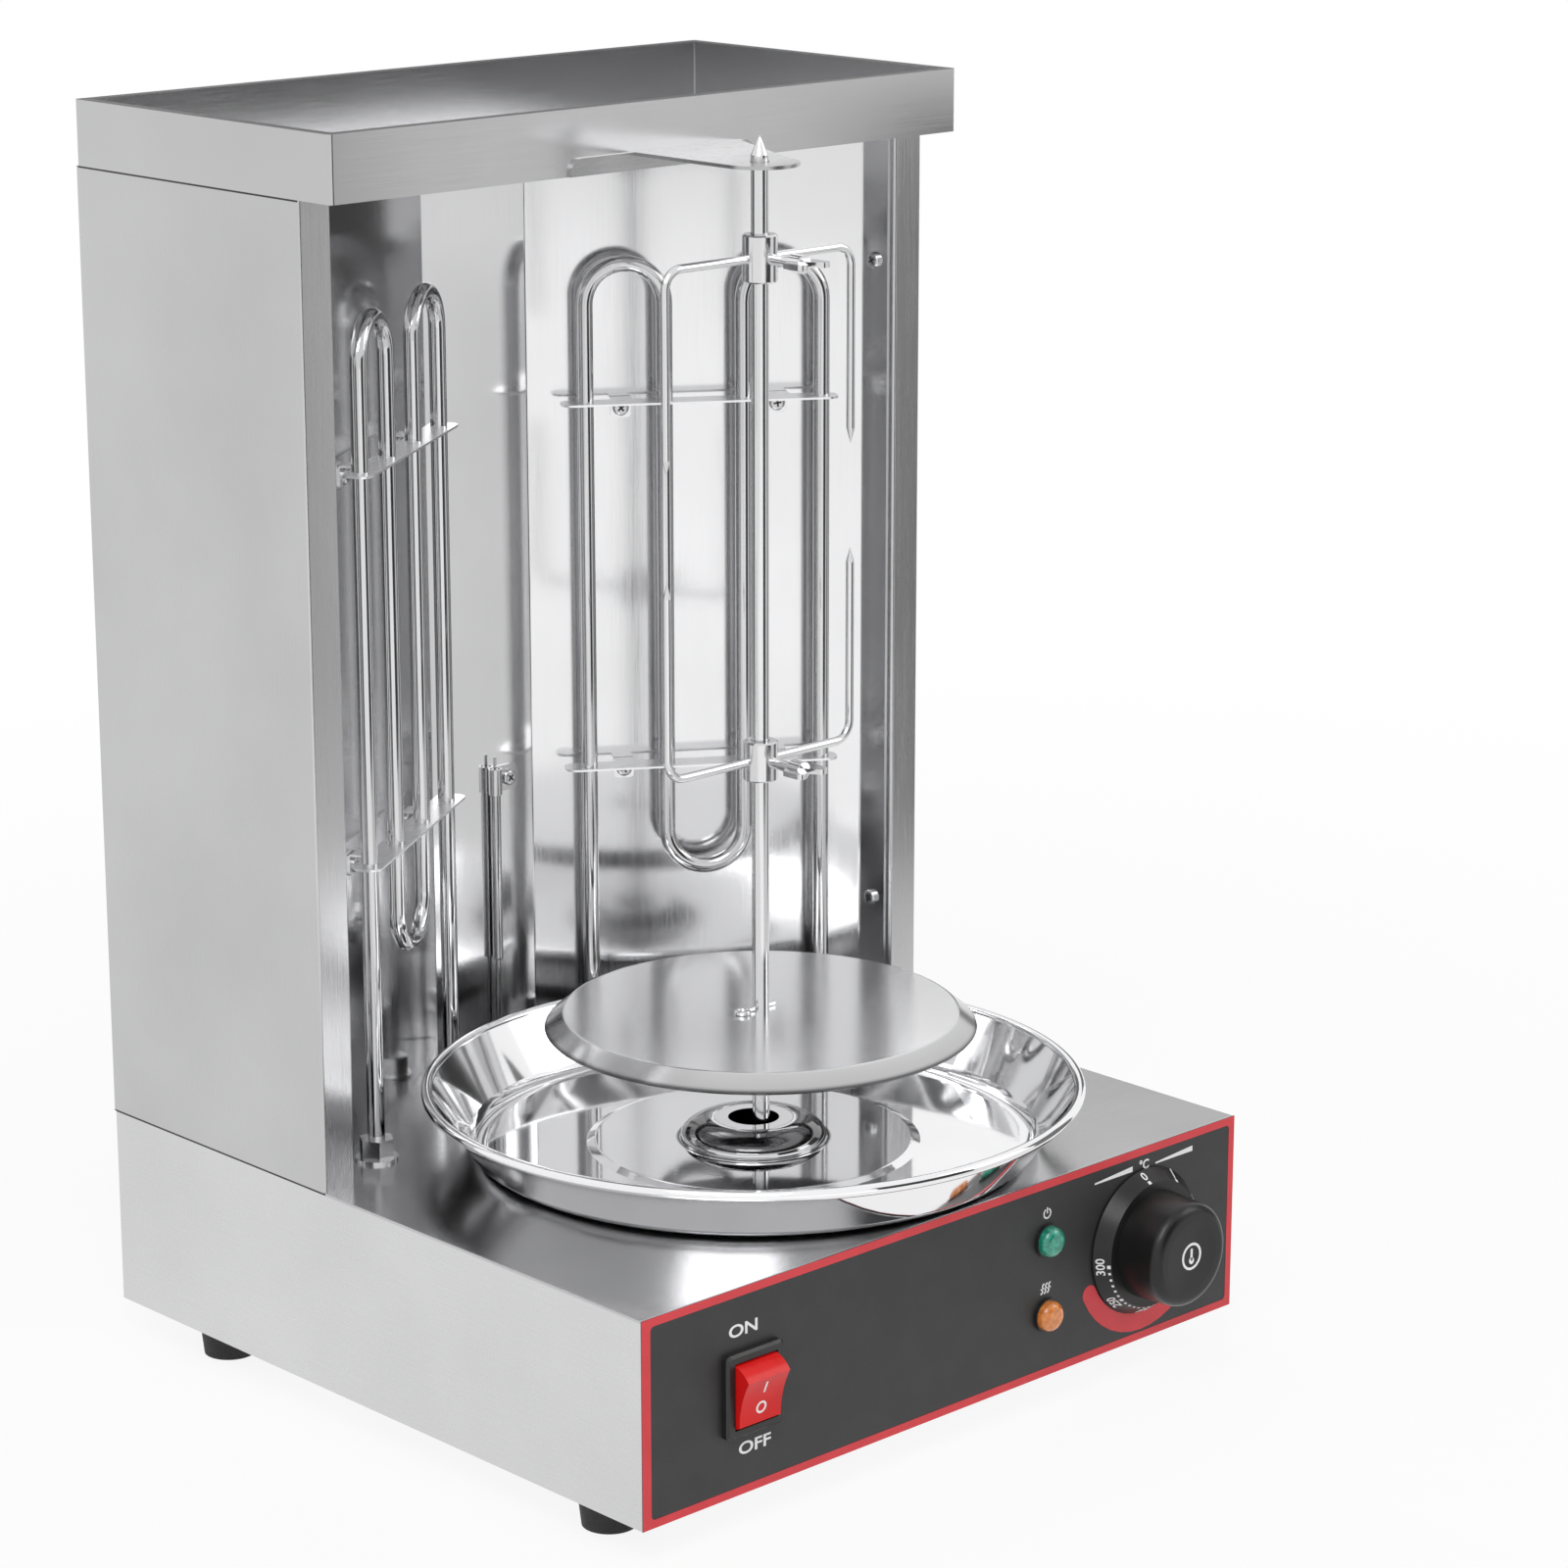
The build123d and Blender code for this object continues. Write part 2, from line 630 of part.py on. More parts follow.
with BuildPart() as sensor_screw:
    clip_seat = Plane(origin=(BULB_X + CLIP_REACH, FLAT_Y - CLIP_T, CLIP_Z), z_dir=(0, -1, 0))
    add(screw(clip_seat, CLIP_T + REFLECTOR_T))
save(sensor_screw, "sensor_screw")

# Top tray and the bracket that steadies the spit

with BuildPart() as top_tray:
    with BuildSketch(Plane.XY.offset(TRAY_Z)):
        with Locations((0, BACK_Y)):
            Rectangle(BASE_W, TRAY_D, align=(Align.CENTER, Align.MAX))
    extrude(amount=TRAY_H)
    fillet(top_tray.edges().filter_by(Axis.Z), TRAY_CORNER)
    offset(amount=-SHEET, openings=top_tray.faces().sort_by(Axis.Z)[-1])
    with BuildSketch(Plane.XY.offset(TRAY_Z + TRAY_H)):
        with Locations((0, BACK_Y - SHEET)):
            Rectangle(BASE_W - 2 * SHEET, TRAY_D - 2 * SHEET, align=(Align.CENTER, Align.MAX))
        with Locations((0, BACK_Y - SHEET - TRAY_LIP)):
            Rectangle(
                BASE_W - 2 * (SHEET + TRAY_LIP),
                TRAY_D - 2 * (SHEET + TRAY_LIP),
                align=(Align.CENTER, Align.MAX),
                mode=Mode.SUBTRACT,
            )
    extrude(amount=-SHEET)
save(top_tray, "top_tray")

TONGUE_Z = TRAY_Z + BRACKET_DROP - BRACKET_T
with BuildPart() as spit_bracket:
    with BuildSketch(Plane(origin=(0, TRAY_Y, TRAY_Z), x_dir=(1, 0, 0), z_dir=(0, -1, 0))) as apron:
        Rectangle(BRACKET_W, BRACKET_DROP, align=(Align.CENTER, Align.MIN))
        fillet(apron.vertices().group_by(Axis.Y)[-1], BRACKET_DROP - BRACKET_T)
    extrude(amount=BRACKET_T)
    with BuildSketch(Plane.XY.offset(TONGUE_Z)):
        root_x = BRACKET_W / 2 - BRACKET_DROP
        with BuildLine():
            eye = CenterArc((0, SPIT_Y), BRACKET_EYE_R, 180, 180)
            left_edge = Line(eye @ 0, (-BRACKET_EYE_R, TRAY_Y))
            root = Line(left_edge @ 1, (root_x, TRAY_Y))
            Line(root @ 1, eye @ 1)
        make_face()
        with Locations((0, SPIT_Y)):
            Circle(SPIT_R + EYE_ROOM, mode=Mode.SUBTRACT)
    extrude(amount=BRACKET_T)
save(spit_bracket, "spit_bracket")

# Spit, disc and pin

DISC_Z = DECK_Z + DISC_ABOVE_DECK
SPIT_FOOT_Z = DECK_Z + HUB_ABOVE_DECK - TANG_LEN
SPIT_TOP_Z = TONGUE_Z + BRACKET_T + SPIT_TIP
PIN_Z = DISC_Z + SPLIT_PIN_R + SLIP
STOP_TOP_Z = DISC_Z - DISC_T

with BuildPart() as spit_rod:
    with BuildSketch(Plane.XZ.offset(-SPIT_Y)):
        with BuildLine():
            Polyline(
                (0, DECK_Z + HUB_ABOVE_DECK),
                (SPIT_R, DECK_Z + HUB_ABOVE_DECK),
                (SPIT_R, SPIT_TOP_Z - SPIT_POINT),
                (0, SPIT_TOP_Z),
                close=True,
            )
        make_face()
    revolve(axis=Axis((0, SPIT_Y, 0), (0, 0, 1)))
    with BuildSketch(Plane(origin=(0, SPIT_Y, SPIT_FOOT_Z))):
        Rectangle(TANG_W, TANG_W)
    extrude(amount=TANG_LEN)
    chamfer(spit_rod.edges().group_by(Axis.Z)[0], TANG_CHAMFER)
    with BuildSketch(Plane(origin=(0, SPIT_Y, PIN_Z), z_dir=(1, 0, 0))):
        Circle(SPLIT_PIN_R + SLIP)
    extrude(amount=SPIT_R, both=True, mode=Mode.SUBTRACT)
save(spit_rod, "spit_rod")

with BuildPart() as disc_stop:
    with BuildSketch(Plane(origin=(0, SPIT_Y, STOP_TOP_Z))):
        Circle(STOP_R)
        Circle(SPIT_R + SLIP, mode=Mode.SUBTRACT)
    extrude(amount=-STOP_H)
save(disc_stop, "disc_stop")

with BuildPart() as meat_disc:
    with BuildSketch(Plane.XZ.offset(-SPIT_Y)):
        with BuildLine():
            FilletPolyline(
                (SPIT_R + SLIP, DISC_Z),
                (DISC_R, DISC_Z),
                (DISC_SKIRT_R, DISC_Z - DISC_SKIRT_H),
                radius=BEND,
            )
            offset(amount=DISC_T, side=Side.RIGHT)
        make_face()
    revolve(axis=Axis((0, SPIT_Y, 0), (0, 0, 1)))
save(meat_disc, "meat_disc")

with BuildPart() as disc_pin:
    with BuildSketch(Plane(origin=(-SPLIT_PIN_LEN / 2, SPIT_Y, PIN_Z), z_dir=(1, 0, 0))):
        Circle(SPLIT_PIN_R)
    extrude(amount=SPLIT_PIN_LEN)
    eye_x = -SPLIT_PIN_LEN / 2 - SPLIT_PIN_EYE_R
    wire_plane = Plane(
        origin=(eye_x, SPIT_Y - SPLIT_PIN_EYE_R, PIN_Z),
        x_dir=(0, 1, 0),
        z_dir=(-1, 0, 0),
    )
    with BuildSketch(wire_plane):
        Circle(SPLIT_PIN_R)
    revolve(axis=Axis((eye_x, SPIT_Y, PIN_Z), (0, 0, 1)))
save(disc_pin, "disc_pin")

# Fork clamps and their wing screws


def fork(foot_z, height, point):
    """Collar on the spit with two wire prongs; point is +1 for prongs that stand up, -1 for down."""
    middle = DECK_Z + foot_z + height / 2
    level = Plane(origin=(0, SPIT_Y, middle), x_dir=(1, 0, 0), z_dir=(0, -1, 0))
    with BuildPart() as clamp:
        for side in (1, -1):
            with BuildLine(level) as wire_path:
                FilletPolyline(
                    (side * (SPIT_R + COLLAR_R) / 2, 0),
                    (side * FORK_HALF, 0),
                    (side * FORK_HALF, point * PRONG_LEN),
                    radius=FORK_BEND,
                )
            with BuildSketch(Plane(origin=wire_path.line @ 0, z_dir=(side, 0, 0))):
                Circle(FORK_WIRE_R)
            sweep(path=wire_path.line)
            tip_plane = Plane(origin=wire_path.line @ 1, z_dir=(0, 0, point))
            with BuildSketch(tip_plane):
                Circle(FORK_WIRE_R)
            extrude(amount=PRONG_POINT, taper=degrees(atan2(FORK_WIRE_R - SLIP, PRONG_POINT)))
        with BuildSketch(Plane(origin=(0, SPIT_Y, DECK_Z + foot_z))):
            Circle(COLLAR_R)
        extrude(amount=height)
        round_edges = clamp.edges().filter_by(GeomType.CIRCLE)
        chamfer(round_edges.filter_by(lambda edge: edge.radius == COLLAR_R), COLLAR_CHAMFER)
        with BuildSketch(Plane(origin=(0, SPIT_Y, DECK_Z + foot_z))):
            Circle(SPIT_R + COLLAR_ROOM)
        extrude(amount=height, mode=Mode.SUBTRACT)
        with BuildSketch(level):
            Circle(THUMB_R + SLIP)
        extrude(amount=COLLAR_R, mode=Mode.SUBTRACT)
    return clamp.part


def thumbscrew(foot_z, height):
    """Wing screw through the front of a collar, its tip just off the rod."""
    middle = DECK_Z + foot_z + height / 2
    axis_plane = Plane(origin=(0, SPIT_Y, middle), x_dir=(1, 0, 0), z_dir=(0, -1, 0))
    boss_at = THUMB_REACH - WING_H - WING_BOSS_H / 2
    with BuildPart() as wing_screw:
        with BuildSketch(axis_plane.offset(SPIT_R + COLLAR_ROOM)):
            Circle(THUMB_R)
        extrude(amount=boss_at - SPIT_R - COLLAR_ROOM)
        with BuildSketch(axis_plane.offset(boss_at)):
            Circle(WING_BOSS_R)
        extrude(amount=WING_BOSS_H)
        wing_plane = Plane(origin=(0, SPIT_Y - boss_at, middle), x_dir=(1, 0, 0), z_dir=(0, 0, 1))
        with BuildSketch(wing_plane) as wings:
            with BuildLine():
                Polyline(
                    (0, 0),
                    (WING_BOSS_R, 0),
                    (WING_SPAN / 2, -WING_BOSS_H / 2),
                    (WING_SPAN / 2, boss_at - THUMB_REACH),
                    (WING_TIP, boss_at - THUMB_REACH),
                    (0, -WING_BOSS_H),
                    close=True,
                )
            make_face()
            mirror(about=Plane.YZ)
            fillet(wings.vertices().group_by(Axis.Y)[0], WING_ROUND)
        extrude(amount=WING_T / 2, both=True)
    return wing_screw.part


FORKS = {
    "upper": (UPPER_COLLAR_Z, UPPER_COLLAR_H, -1),
    "lower": (LOWER_COLLAR_Z, LOWER_COLLAR_H, 1),
}
for name, (foot_z, height, point) in FORKS.items():
    with BuildPart() as fork_clamp:
        add(fork(foot_z, height, point))
    save(fork_clamp, f"{name}_fork")
    with BuildPart() as fork_screw:
        add(thumbscrew(foot_z, height))
    save(fork_screw, f"{name}_thumbscrew")

# Drip pan

with BuildPart() as drip_pan:
    with BuildSketch(Plane.XZ.offset(-PAN_Y)):
        with BuildLine():
            FilletPolyline(
                (PAN_HOLE_R, DECK_Z + PAN_BOSS_H),
                (PAN_BOSS_TOP_R, DECK_Z + PAN_BOSS_H),
                (PAN_BOSS_FOOT_R, DECK_Z + PAN_STEP_H),
                (PAN_STEP_R, DECK_Z + PAN_STEP_H),
                (PAN_STEP_R + PAN_STEP_W, DECK_Z),
                (PAN_FLOOR_R, DECK_Z),
                (PAN_RIM_R - 2 * PAN_ROLL_R + PAN_T, DECK_Z + PAN_DEPTH - PAN_ROLL_R),
                radius=[PAN_BOSS_ROUND, PAN_BOSS_ROUND, PAN_STEP_H, PAN_STEP_H, PAN_CORNER],
            )
            offset(amount=PAN_T, side=Side.LEFT)
        make_face()
        with Locations((PAN_RIM_R - PAN_ROLL_R, DECK_Z + PAN_DEPTH - PAN_ROLL_R)):
            Circle(PAN_ROLL_R)
    revolve(axis=Axis((0, PAN_Y, 0), (0, 0, 1)))
save(drip_pan, "drip_pan")

# Spit drive under the deck

HUB_TOP_Z = DECK_Z + HUB_ABOVE_DECK
HUB_FOOT_Z = HUB_TOP_Z - HUB_LEN
PLATE_Z = HUB_FOOT_Z - HUB_ROOM - MOTOR_PLATE_T
GEARBOX_Z = PLATE_Z - GEARBOX_H
MOTOR_SCREW_AT = GEARBOX_W / 2 - MOTOR_SCREW_INSET
SHAFT_FOOT_Z = GEARBOX_Z + MOTOR_SHAFT_SEAT

with BuildPart() as drive_hub:
    with BuildSketch(Plane(origin=(0, SPIT_Y, HUB_FOOT_Z))):
        Circle(HUB_R)
    extrude(amount=HUB_LEN)
    chamfer(drive_hub.edges().group_by(Axis.Z)[-1], HUB_CHAMFER)
    with BuildSketch(Plane(origin=(0, SPIT_Y, HUB_TOP_Z))):
        Rectangle(TANG_W + 2 * TANG_ROOM, TANG_W + 2 * TANG_ROOM)
    extrude(amount=-(TANG_LEN + TANG_ROOM), mode=Mode.SUBTRACT)
    with BuildSketch(Plane(origin=(0, SPIT_Y, HUB_FOOT_Z))):
        Circle(MOTOR_SHAFT_R)
    extrude(amount=MOTOR_SHAFT_GRIP, mode=Mode.SUBTRACT)
save(drive_hub, "drive_hub")

with BuildPart() as motor_shaft:
    with BuildSketch(Plane(origin=(0, SPIT_Y, SHAFT_FOOT_Z))):
        Circle(MOTOR_SHAFT_R)
    extrude(amount=HUB_FOOT_Z + MOTOR_SHAFT_GRIP - SHAFT_FOOT_Z)
save(motor_shaft, "motor_shaft")

with BuildPart() as gear_motor:
    with BuildSketch(Plane(origin=(0, SPIT_Y, GEARBOX_Z))) as gearbox:
        Rectangle(GEARBOX_W, GEARBOX_W)
        fillet(gearbox.vertices(), GEARBOX_CORNER)
    extrude(amount=GEARBOX_H)
    with BuildSketch(Plane(origin=(0, SPIT_Y, GEARBOX_Z))):
        Circle(MOTOR_R)
    extrude(amount=-MOTOR_H)
    fillet(gear_motor.edges().group_by(Axis.Z)[0], MOTOR_ROUND)
    with BuildSketch(Plane(origin=(0, SPIT_Y, PLATE_Z))):
        Circle(MOTOR_SHAFT_R + SLIP)
    extrude(amount=SHAFT_FOOT_Z - PLATE_Z, mode=Mode.SUBTRACT)
    with BuildSketch(Plane(origin=(0, SPIT_Y, PLATE_Z))):
        with GridLocations(2 * MOTOR_SCREW_AT, 2 * MOTOR_SCREW_AT, 2, 2):
            Circle(SCREW_R)
    extrude(amount=-SCREW_TAIL - SLIP, mode=Mode.SUBTRACT)
save(gear_motor, "gear_motor")

with BuildPart() as motor_bracket:
    half = GEARBOX_W / 2 + BRACKET_ROOM
    bracket_points = [
        (-half - BRACKET_FOOT, UNDER_DECK - MOTOR_PLATE_T),
        (-half, UNDER_DECK - MOTOR_PLATE_T),
        (-half, PLATE_Z),
        (half, PLATE_Z),
        (half, UNDER_DECK - MOTOR_PLATE_T),
        (half + BRACKET_FOOT, UNDER_DECK - MOTOR_PLATE_T),
    ]
    extrude(
        folded(Plane.XZ.offset(-SPIT_Y), bracket_points, MOTOR_PLATE_T, Side.LEFT),
        amount=GEARBOX_W / 2,
        both=True,
    )
    with BuildSketch(Plane(origin=(0, SPIT_Y, PLATE_Z))):
        Circle(MOTOR_SHAFT_R + HUB_ROOM)
        with GridLocations(2 * MOTOR_SCREW_AT, 2 * MOTOR_SCREW_AT, 2, 2):
            Circle(SCREW_R)
    extrude(amount=MOTOR_PLATE_T, mode=Mode.SUBTRACT)
save(motor_bracket, "motor_bracket")

with BuildPart() as motor_screws:
    with GridLocations(2 * MOTOR_SCREW_AT, 2 * MOTOR_SCREW_AT, 2, 2) as corners:
        places = [corner.position for corner in corners.locations]
    for place in places:
        add(screw(Plane(origin=(place.X, SPIT_Y + place.Y, PLATE_Z + MOTOR_PLATE_T)), MOTOR_PLATE_T))
save(motor_screws, "motor_screws")

# Front panel, its printed overlay and the controls


def control_openings():
    """Openings for the switch, lamps and dial shaft, on the panel's own face."""
    with BuildSketch() as openings:
        with Locations((SWITCH_X, SWITCH_Z)):
            Rectangle(SWITCH_BODY_W + 2 * SLIP, SWITCH_BODY_H + 2 * SLIP)
        with Locations(*[(LAMP_X, z) for z in LAMPS.values()]):
            Circle(LAMP_R + SLIP)
        with Locations((DIAL_X, DIAL_Z)):
            Circle(THERMOSTAT_BUSH_R + SLIP)
    return openings.sketch


with BuildPart() as front_panel:
    with BuildSketch(PANEL_FACE):
        Rectangle(BASE_W, BASE_H - SHEET, align=(Align.CENTER, Align.MIN))
        add(control_openings(), mode=Mode.SUBTRACT)
    extrude(amount=-SHEET)
    lip_w = BASE_W - 2 * SHEET - 2 * FIT
    for lip_top in (2 * SHEET, BASE_H - SHEET):
        with BuildSketch(PANEL_BACK):
            with Locations((0, lip_top)):
                Rectangle(lip_w, SHEET, align=(Align.CENTER, Align.MAX))
        extrude(amount=-PANEL_LIP + FIT)
save(front_panel, "front_panel")

with BuildPart() as panel_overlay:
    with BuildSketch(PANEL_FACE):
        Rectangle(BASE_W, BASE_H, align=(Align.CENTER, Align.MIN))
        add(control_openings(), mode=Mode.SUBTRACT)
    extrude(amount=OVERLAY_T)
save(panel_overlay, "panel_overlay")

# Rocker switch: bezel and body in one moulding, rocker on a pivot across it

SWITCH_FACE = OVERLAY_FACE.offset(BEZEL_T)
PIVOT = (SWITCH_X, FRONT_Y - OVERLAY_T, BASE_Z + SWITCH_Z)
TRUNNION_HALF = ROCKER_W / 2 + TRUNNION_LEN
with BuildPart() as switch_body:
    with BuildSketch(OVERLAY_FACE):
        with Locations((SWITCH_X, SWITCH_Z)):
            RectangleRounded(BEZEL_W, BEZEL_H, BEZEL_CORNER)
    extrude(amount=BEZEL_T)
    chamfer(switch_body.faces().sort_by(Axis.Y)[0].edges(), BEZEL_CHAMFER)
    with BuildSketch(OVERLAY_FACE):
        with Locations((SWITCH_X, SWITCH_Z)):
            Rectangle(SWITCH_BODY_W, SWITCH_BODY_H)
    extrude(amount=-SWITCH_BODY_D)
    with BuildSketch(SWITCH_FACE):
        with Locations((SWITCH_X, SWITCH_Z)):
            Rectangle(ROCKER_W + 2 * ROCKER_ROOM, ROCKER_H + 2 * ROCKER_ROOM)
    extrude(amount=-(BEZEL_T + SWITCH_BODY_D - SWITCH_WALL), mode=Mode.SUBTRACT)
    with BuildSketch(Plane(origin=PIVOT, z_dir=(1, 0, 0))):
        Circle(TRUNNION_R + SLIP)
    extrude(amount=TRUNNION_HALF + SLIP, both=True, mode=Mode.SUBTRACT)
save(switch_body, "switch_body")

with BuildPart() as switch_rocker:
    swing_r = ROCKER_H / 2
    face_z = (swing_r**2 - ROCKER_FACE**2) ** 0.5
    back_z = (swing_r**2 - ROCKER_BACK**2) ** 0.5
    face_dir = (0, -cos(radians(ROCKER_TILT)), -sin(radians(ROCKER_TILT)))
    with BuildSketch(Plane(origin=PIVOT, x_dir=face_dir, z_dir=(-1, 0, 0))):
        with BuildLine():
            face_points = [(ROCKER_FACE, -face_z), (ROCKER_FACE - ROCKER_DISH, 0), (ROCKER_FACE, face_z)]
            face = ThreePointArc(*face_points)
            top = ThreePointArc(face @ 1, (0, swing_r), (-ROCKER_BACK, back_z))
            back = Line(top @ 1, (-ROCKER_BACK, -back_z))
            ThreePointArc(back @ 1, (0, -swing_r), face @ 0)
        make_face()
    extrude(amount=ROCKER_W / 2, both=True)
    with BuildSketch(Plane(origin=PIVOT, z_dir=(1, 0, 0))):
        Circle(TRUNNION_R)
    extrude(amount=TRUNNION_HALF, both=True)
save(switch_rocker, "switch_rocker")

# Pilot lamps

for name, z in LAMPS.items():
    with BuildPart() as lamp:
        with BuildSketch(OVERLAY_FACE):
            with Locations((LAMP_X, z)):
                Circle(LAMP_RIM_R)
        extrude(amount=LAMP_RIM_H)
        with BuildSketch(OVERLAY_FACE):
            with Locations((LAMP_X, z)):
                Circle(LAMP_R)
        extrude(amount=-LAMP_BODY_LEN)
    save(lamp, f"{name}_lamp")
    with BuildPart() as lens:
        with BuildSketch(OVERLAY_FACE.offset(LAMP_RIM_H)):
            with Locations((LAMP_X, z)):
                Circle(LENS_R)
        extrude(amount=LENS_H)
        fillet(lens.faces().sort_by(Axis.Y)[0].edges(), LENS_ROUND)
    save(lens, f"{name}_lens")

# Thermostat and its dial

DIAL_PLANE = Plane(
    origin=(DIAL_X, FRONT_Y - OVERLAY_T, BASE_Z + DIAL_Z),
    x_dir=(1, 0, 0),
    z_dir=(0, -1, 0),
)
DIAL_AXIS = Axis(DIAL_PLANE.origin, DIAL_PLANE.z_dir)
DIAL_SECTION = Plane(origin=DIAL_PLANE.origin, x_dir=(1, 0, 0), z_dir=(0, 0, 1))
SKIRT_FRONT = SKIRT_GAP + SKIRT_H
SHAFT_BACK = OVERLAY_T + SHEET + THERMOSTAT_SHAFT_SEAT

with BuildPart() as thermostat_body:
    with BuildSketch(DIAL_PLANE.offset(-OVERLAY_T - SHEET)):
        Circle(THERMOSTAT_R)
    extrude(amount=-THERMOSTAT_D)
    fillet(thermostat_body.edges().group_by(Axis.Y)[-1], THERMOSTAT_ROUND)
    with BuildSketch(DIAL_PLANE):
        Circle(THERMOSTAT_BUSH_R)
    extrude(amount=-OVERLAY_T - SHEET)
    with BuildSketch(DIAL_PLANE):
        Circle(DIAL_SHAFT_R + SLIP)
    extrude(amount=-SHAFT_BACK, mode=Mode.SUBTRACT)
save(thermostat_body, "thermostat_body")

with BuildPart() as thermostat_shaft:
    with BuildSketch(DIAL_PLANE.offset(SKIRT_GAP + DIAL_SHAFT_GRIP)):
        Circle(DIAL_SHAFT_R)
    extrude(amount=-SKIRT_GAP - DIAL_SHAFT_GRIP - SHAFT_BACK)
save(thermostat_shaft, "thermostat_shaft")

with BuildPart() as dial_skirt:
    with BuildSketch(DIAL_SECTION):
        with BuildLine():
            Polyline(
                (HUB_OF_CAP_R + SLIP, -SKIRT_FRONT + SKIRT_T),
                (HUB_OF_CAP_R + SLIP, -SKIRT_FRONT),
                (SKIRT_TOP_R, -SKIRT_FRONT),
                (SKIRT_R, -SKIRT_GAP),
                (SKIRT_R - SKIRT_T, -SKIRT_GAP),
                (SKIRT_TOP_R - SKIRT_T, -SKIRT_FRONT + SKIRT_T),
                close=True,
            )
        make_face()
    revolve(axis=DIAL_AXIS)
save(dial_skirt, "dial_skirt")

with BuildPart() as knob_cap:
    with BuildSketch(DIAL_SECTION):
        with BuildLine():
            Polyline(
                (0, -SKIRT_GAP),
                (HUB_OF_CAP_R, -SKIRT_GAP),
                (HUB_OF_CAP_R, -SKIRT_FRONT),
                (CAP_R, -SKIRT_FRONT),
                (CAP_FACE_R, -SKIRT_FRONT - CAP_H),
                (CAP_DISH_R, -SKIRT_FRONT - CAP_H),
                (0, -SKIRT_FRONT - CAP_H + CAP_DISH),
                close=True,
            )
        make_face()
    revolve(axis=DIAL_AXIS)
    face_rings = knob_cap.edges().filter_by(GeomType.CIRCLE).group_by(Axis.Y)[0]
    fillet(face_rings.sort_by(SortBy.RADIUS)[-1], CAP_ROUND)
    with BuildSketch(DIAL_PLANE.offset(SKIRT_GAP)):
        Circle(DIAL_SHAFT_R)
    extrude(amount=DIAL_SHAFT_GRIP, mode=Mode.SUBTRACT)
save(knob_cap, "knob_cap")

# Cord entry and terminal block

GLAND_PLANE = Plane(origin=(GLAND_X, BACK_Y, BASE_Z + GLAND_Z), x_dir=(-1, 0, 0), z_dir=(0, 1, 0))
GLAND_INSIDE = SHEET + GLAND_NUT_H + GLAND_THREAD_PAST
with BuildPart() as cord_gland:
    with BuildSketch(GLAND_PLANE):
        RegularPolygon(GLAND_FLATS / 2, 6, major_radius=False)
    extrude(amount=GLAND_HEX_H)
    with BuildSketch(GLAND_PLANE.offset(GLAND_HEX_H)):
        Circle(GLAND_DOME_R)
    extrude(amount=GLAND_DOME_H)
    fillet(cord_gland.faces().sort_by(Axis.Y)[-1].edges(), GLAND_DOME_R - GLAND_BORE_R - GLAND_LIP)
    with BuildSketch(GLAND_PLANE):
        Circle(GLAND_THREAD_R)
    extrude(amount=-GLAND_INSIDE)
    with BuildSketch(GLAND_PLANE.offset(GLAND_REACH)):
        Circle(GLAND_BORE_R)
    extrude(amount=-GLAND_REACH - GLAND_INSIDE, mode=Mode.SUBTRACT)
save(cord_gland, "cord_gland")

with BuildPart() as gland_nut:
    with BuildSketch(GLAND_PLANE.offset(-SHEET)):
        RegularPolygon(GLAND_FLATS / 2, 6, major_radius=False)
        Circle(GLAND_THREAD_R + SLIP, mode=Mode.SUBTRACT)
    extrude(amount=-GLAND_NUT_H)
save(gland_nut, "gland_nut")

with BuildPart() as terminal_block:
    block_y = BACK_Y - TERMINAL_FROM_BACK
    block_top = BASE_Z + SHEET + TERMINAL_H
    with BuildSketch(Plane(origin=(GLAND_X, block_y, block_top))):
        Rectangle(TERMINALS * TERMINAL_PITCH + TERMINAL_WALL, TERMINAL_D)
    extrude(amount=-TERMINAL_H)
    with BuildSketch(Plane(origin=(GLAND_X, block_y, block_top))):
        with GridLocations(TERMINAL_PITCH, TERMINAL_D, TERMINALS, 2):
            Rectangle(TERMINAL_PITCH - TERMINAL_WALL, TERMINAL_D / 2)
    extrude(amount=-TERMINAL_H / 2, mode=Mode.SUBTRACT)
save(terminal_block, "terminal_block")
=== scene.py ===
"""Looks of the table-top doner kebab grill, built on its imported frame.

Metres, +Z up, front towards -Y, origin on the table under the middle of the object. Angles are in degrees.
"""

from math import cos, radians, sin

import bpy
from mathutils import Matrix, Vector
from mathutils.geometry import normal


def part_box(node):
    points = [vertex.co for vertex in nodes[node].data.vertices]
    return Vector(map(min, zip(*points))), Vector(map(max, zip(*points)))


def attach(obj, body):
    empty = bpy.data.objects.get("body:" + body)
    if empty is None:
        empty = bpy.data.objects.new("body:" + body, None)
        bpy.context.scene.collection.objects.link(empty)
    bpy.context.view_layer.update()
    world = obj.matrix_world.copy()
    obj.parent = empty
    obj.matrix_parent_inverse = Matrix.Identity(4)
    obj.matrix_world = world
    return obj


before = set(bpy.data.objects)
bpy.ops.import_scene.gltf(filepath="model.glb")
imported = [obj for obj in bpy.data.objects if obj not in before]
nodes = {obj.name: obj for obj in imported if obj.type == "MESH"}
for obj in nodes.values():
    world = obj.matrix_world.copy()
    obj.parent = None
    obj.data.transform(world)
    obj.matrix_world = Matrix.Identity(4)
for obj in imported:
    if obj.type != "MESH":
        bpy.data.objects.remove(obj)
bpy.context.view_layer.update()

MM = 0.001


# Node helpers for the materials

NOISE_LOW = 0.3  # nearly all noise lies between these two
NOISE_HIGH = 0.7
MIX_FIRST = 6  # sockets of the Mix node that carry colour
MIX_SECOND = 7
MIX_RESULT = 2


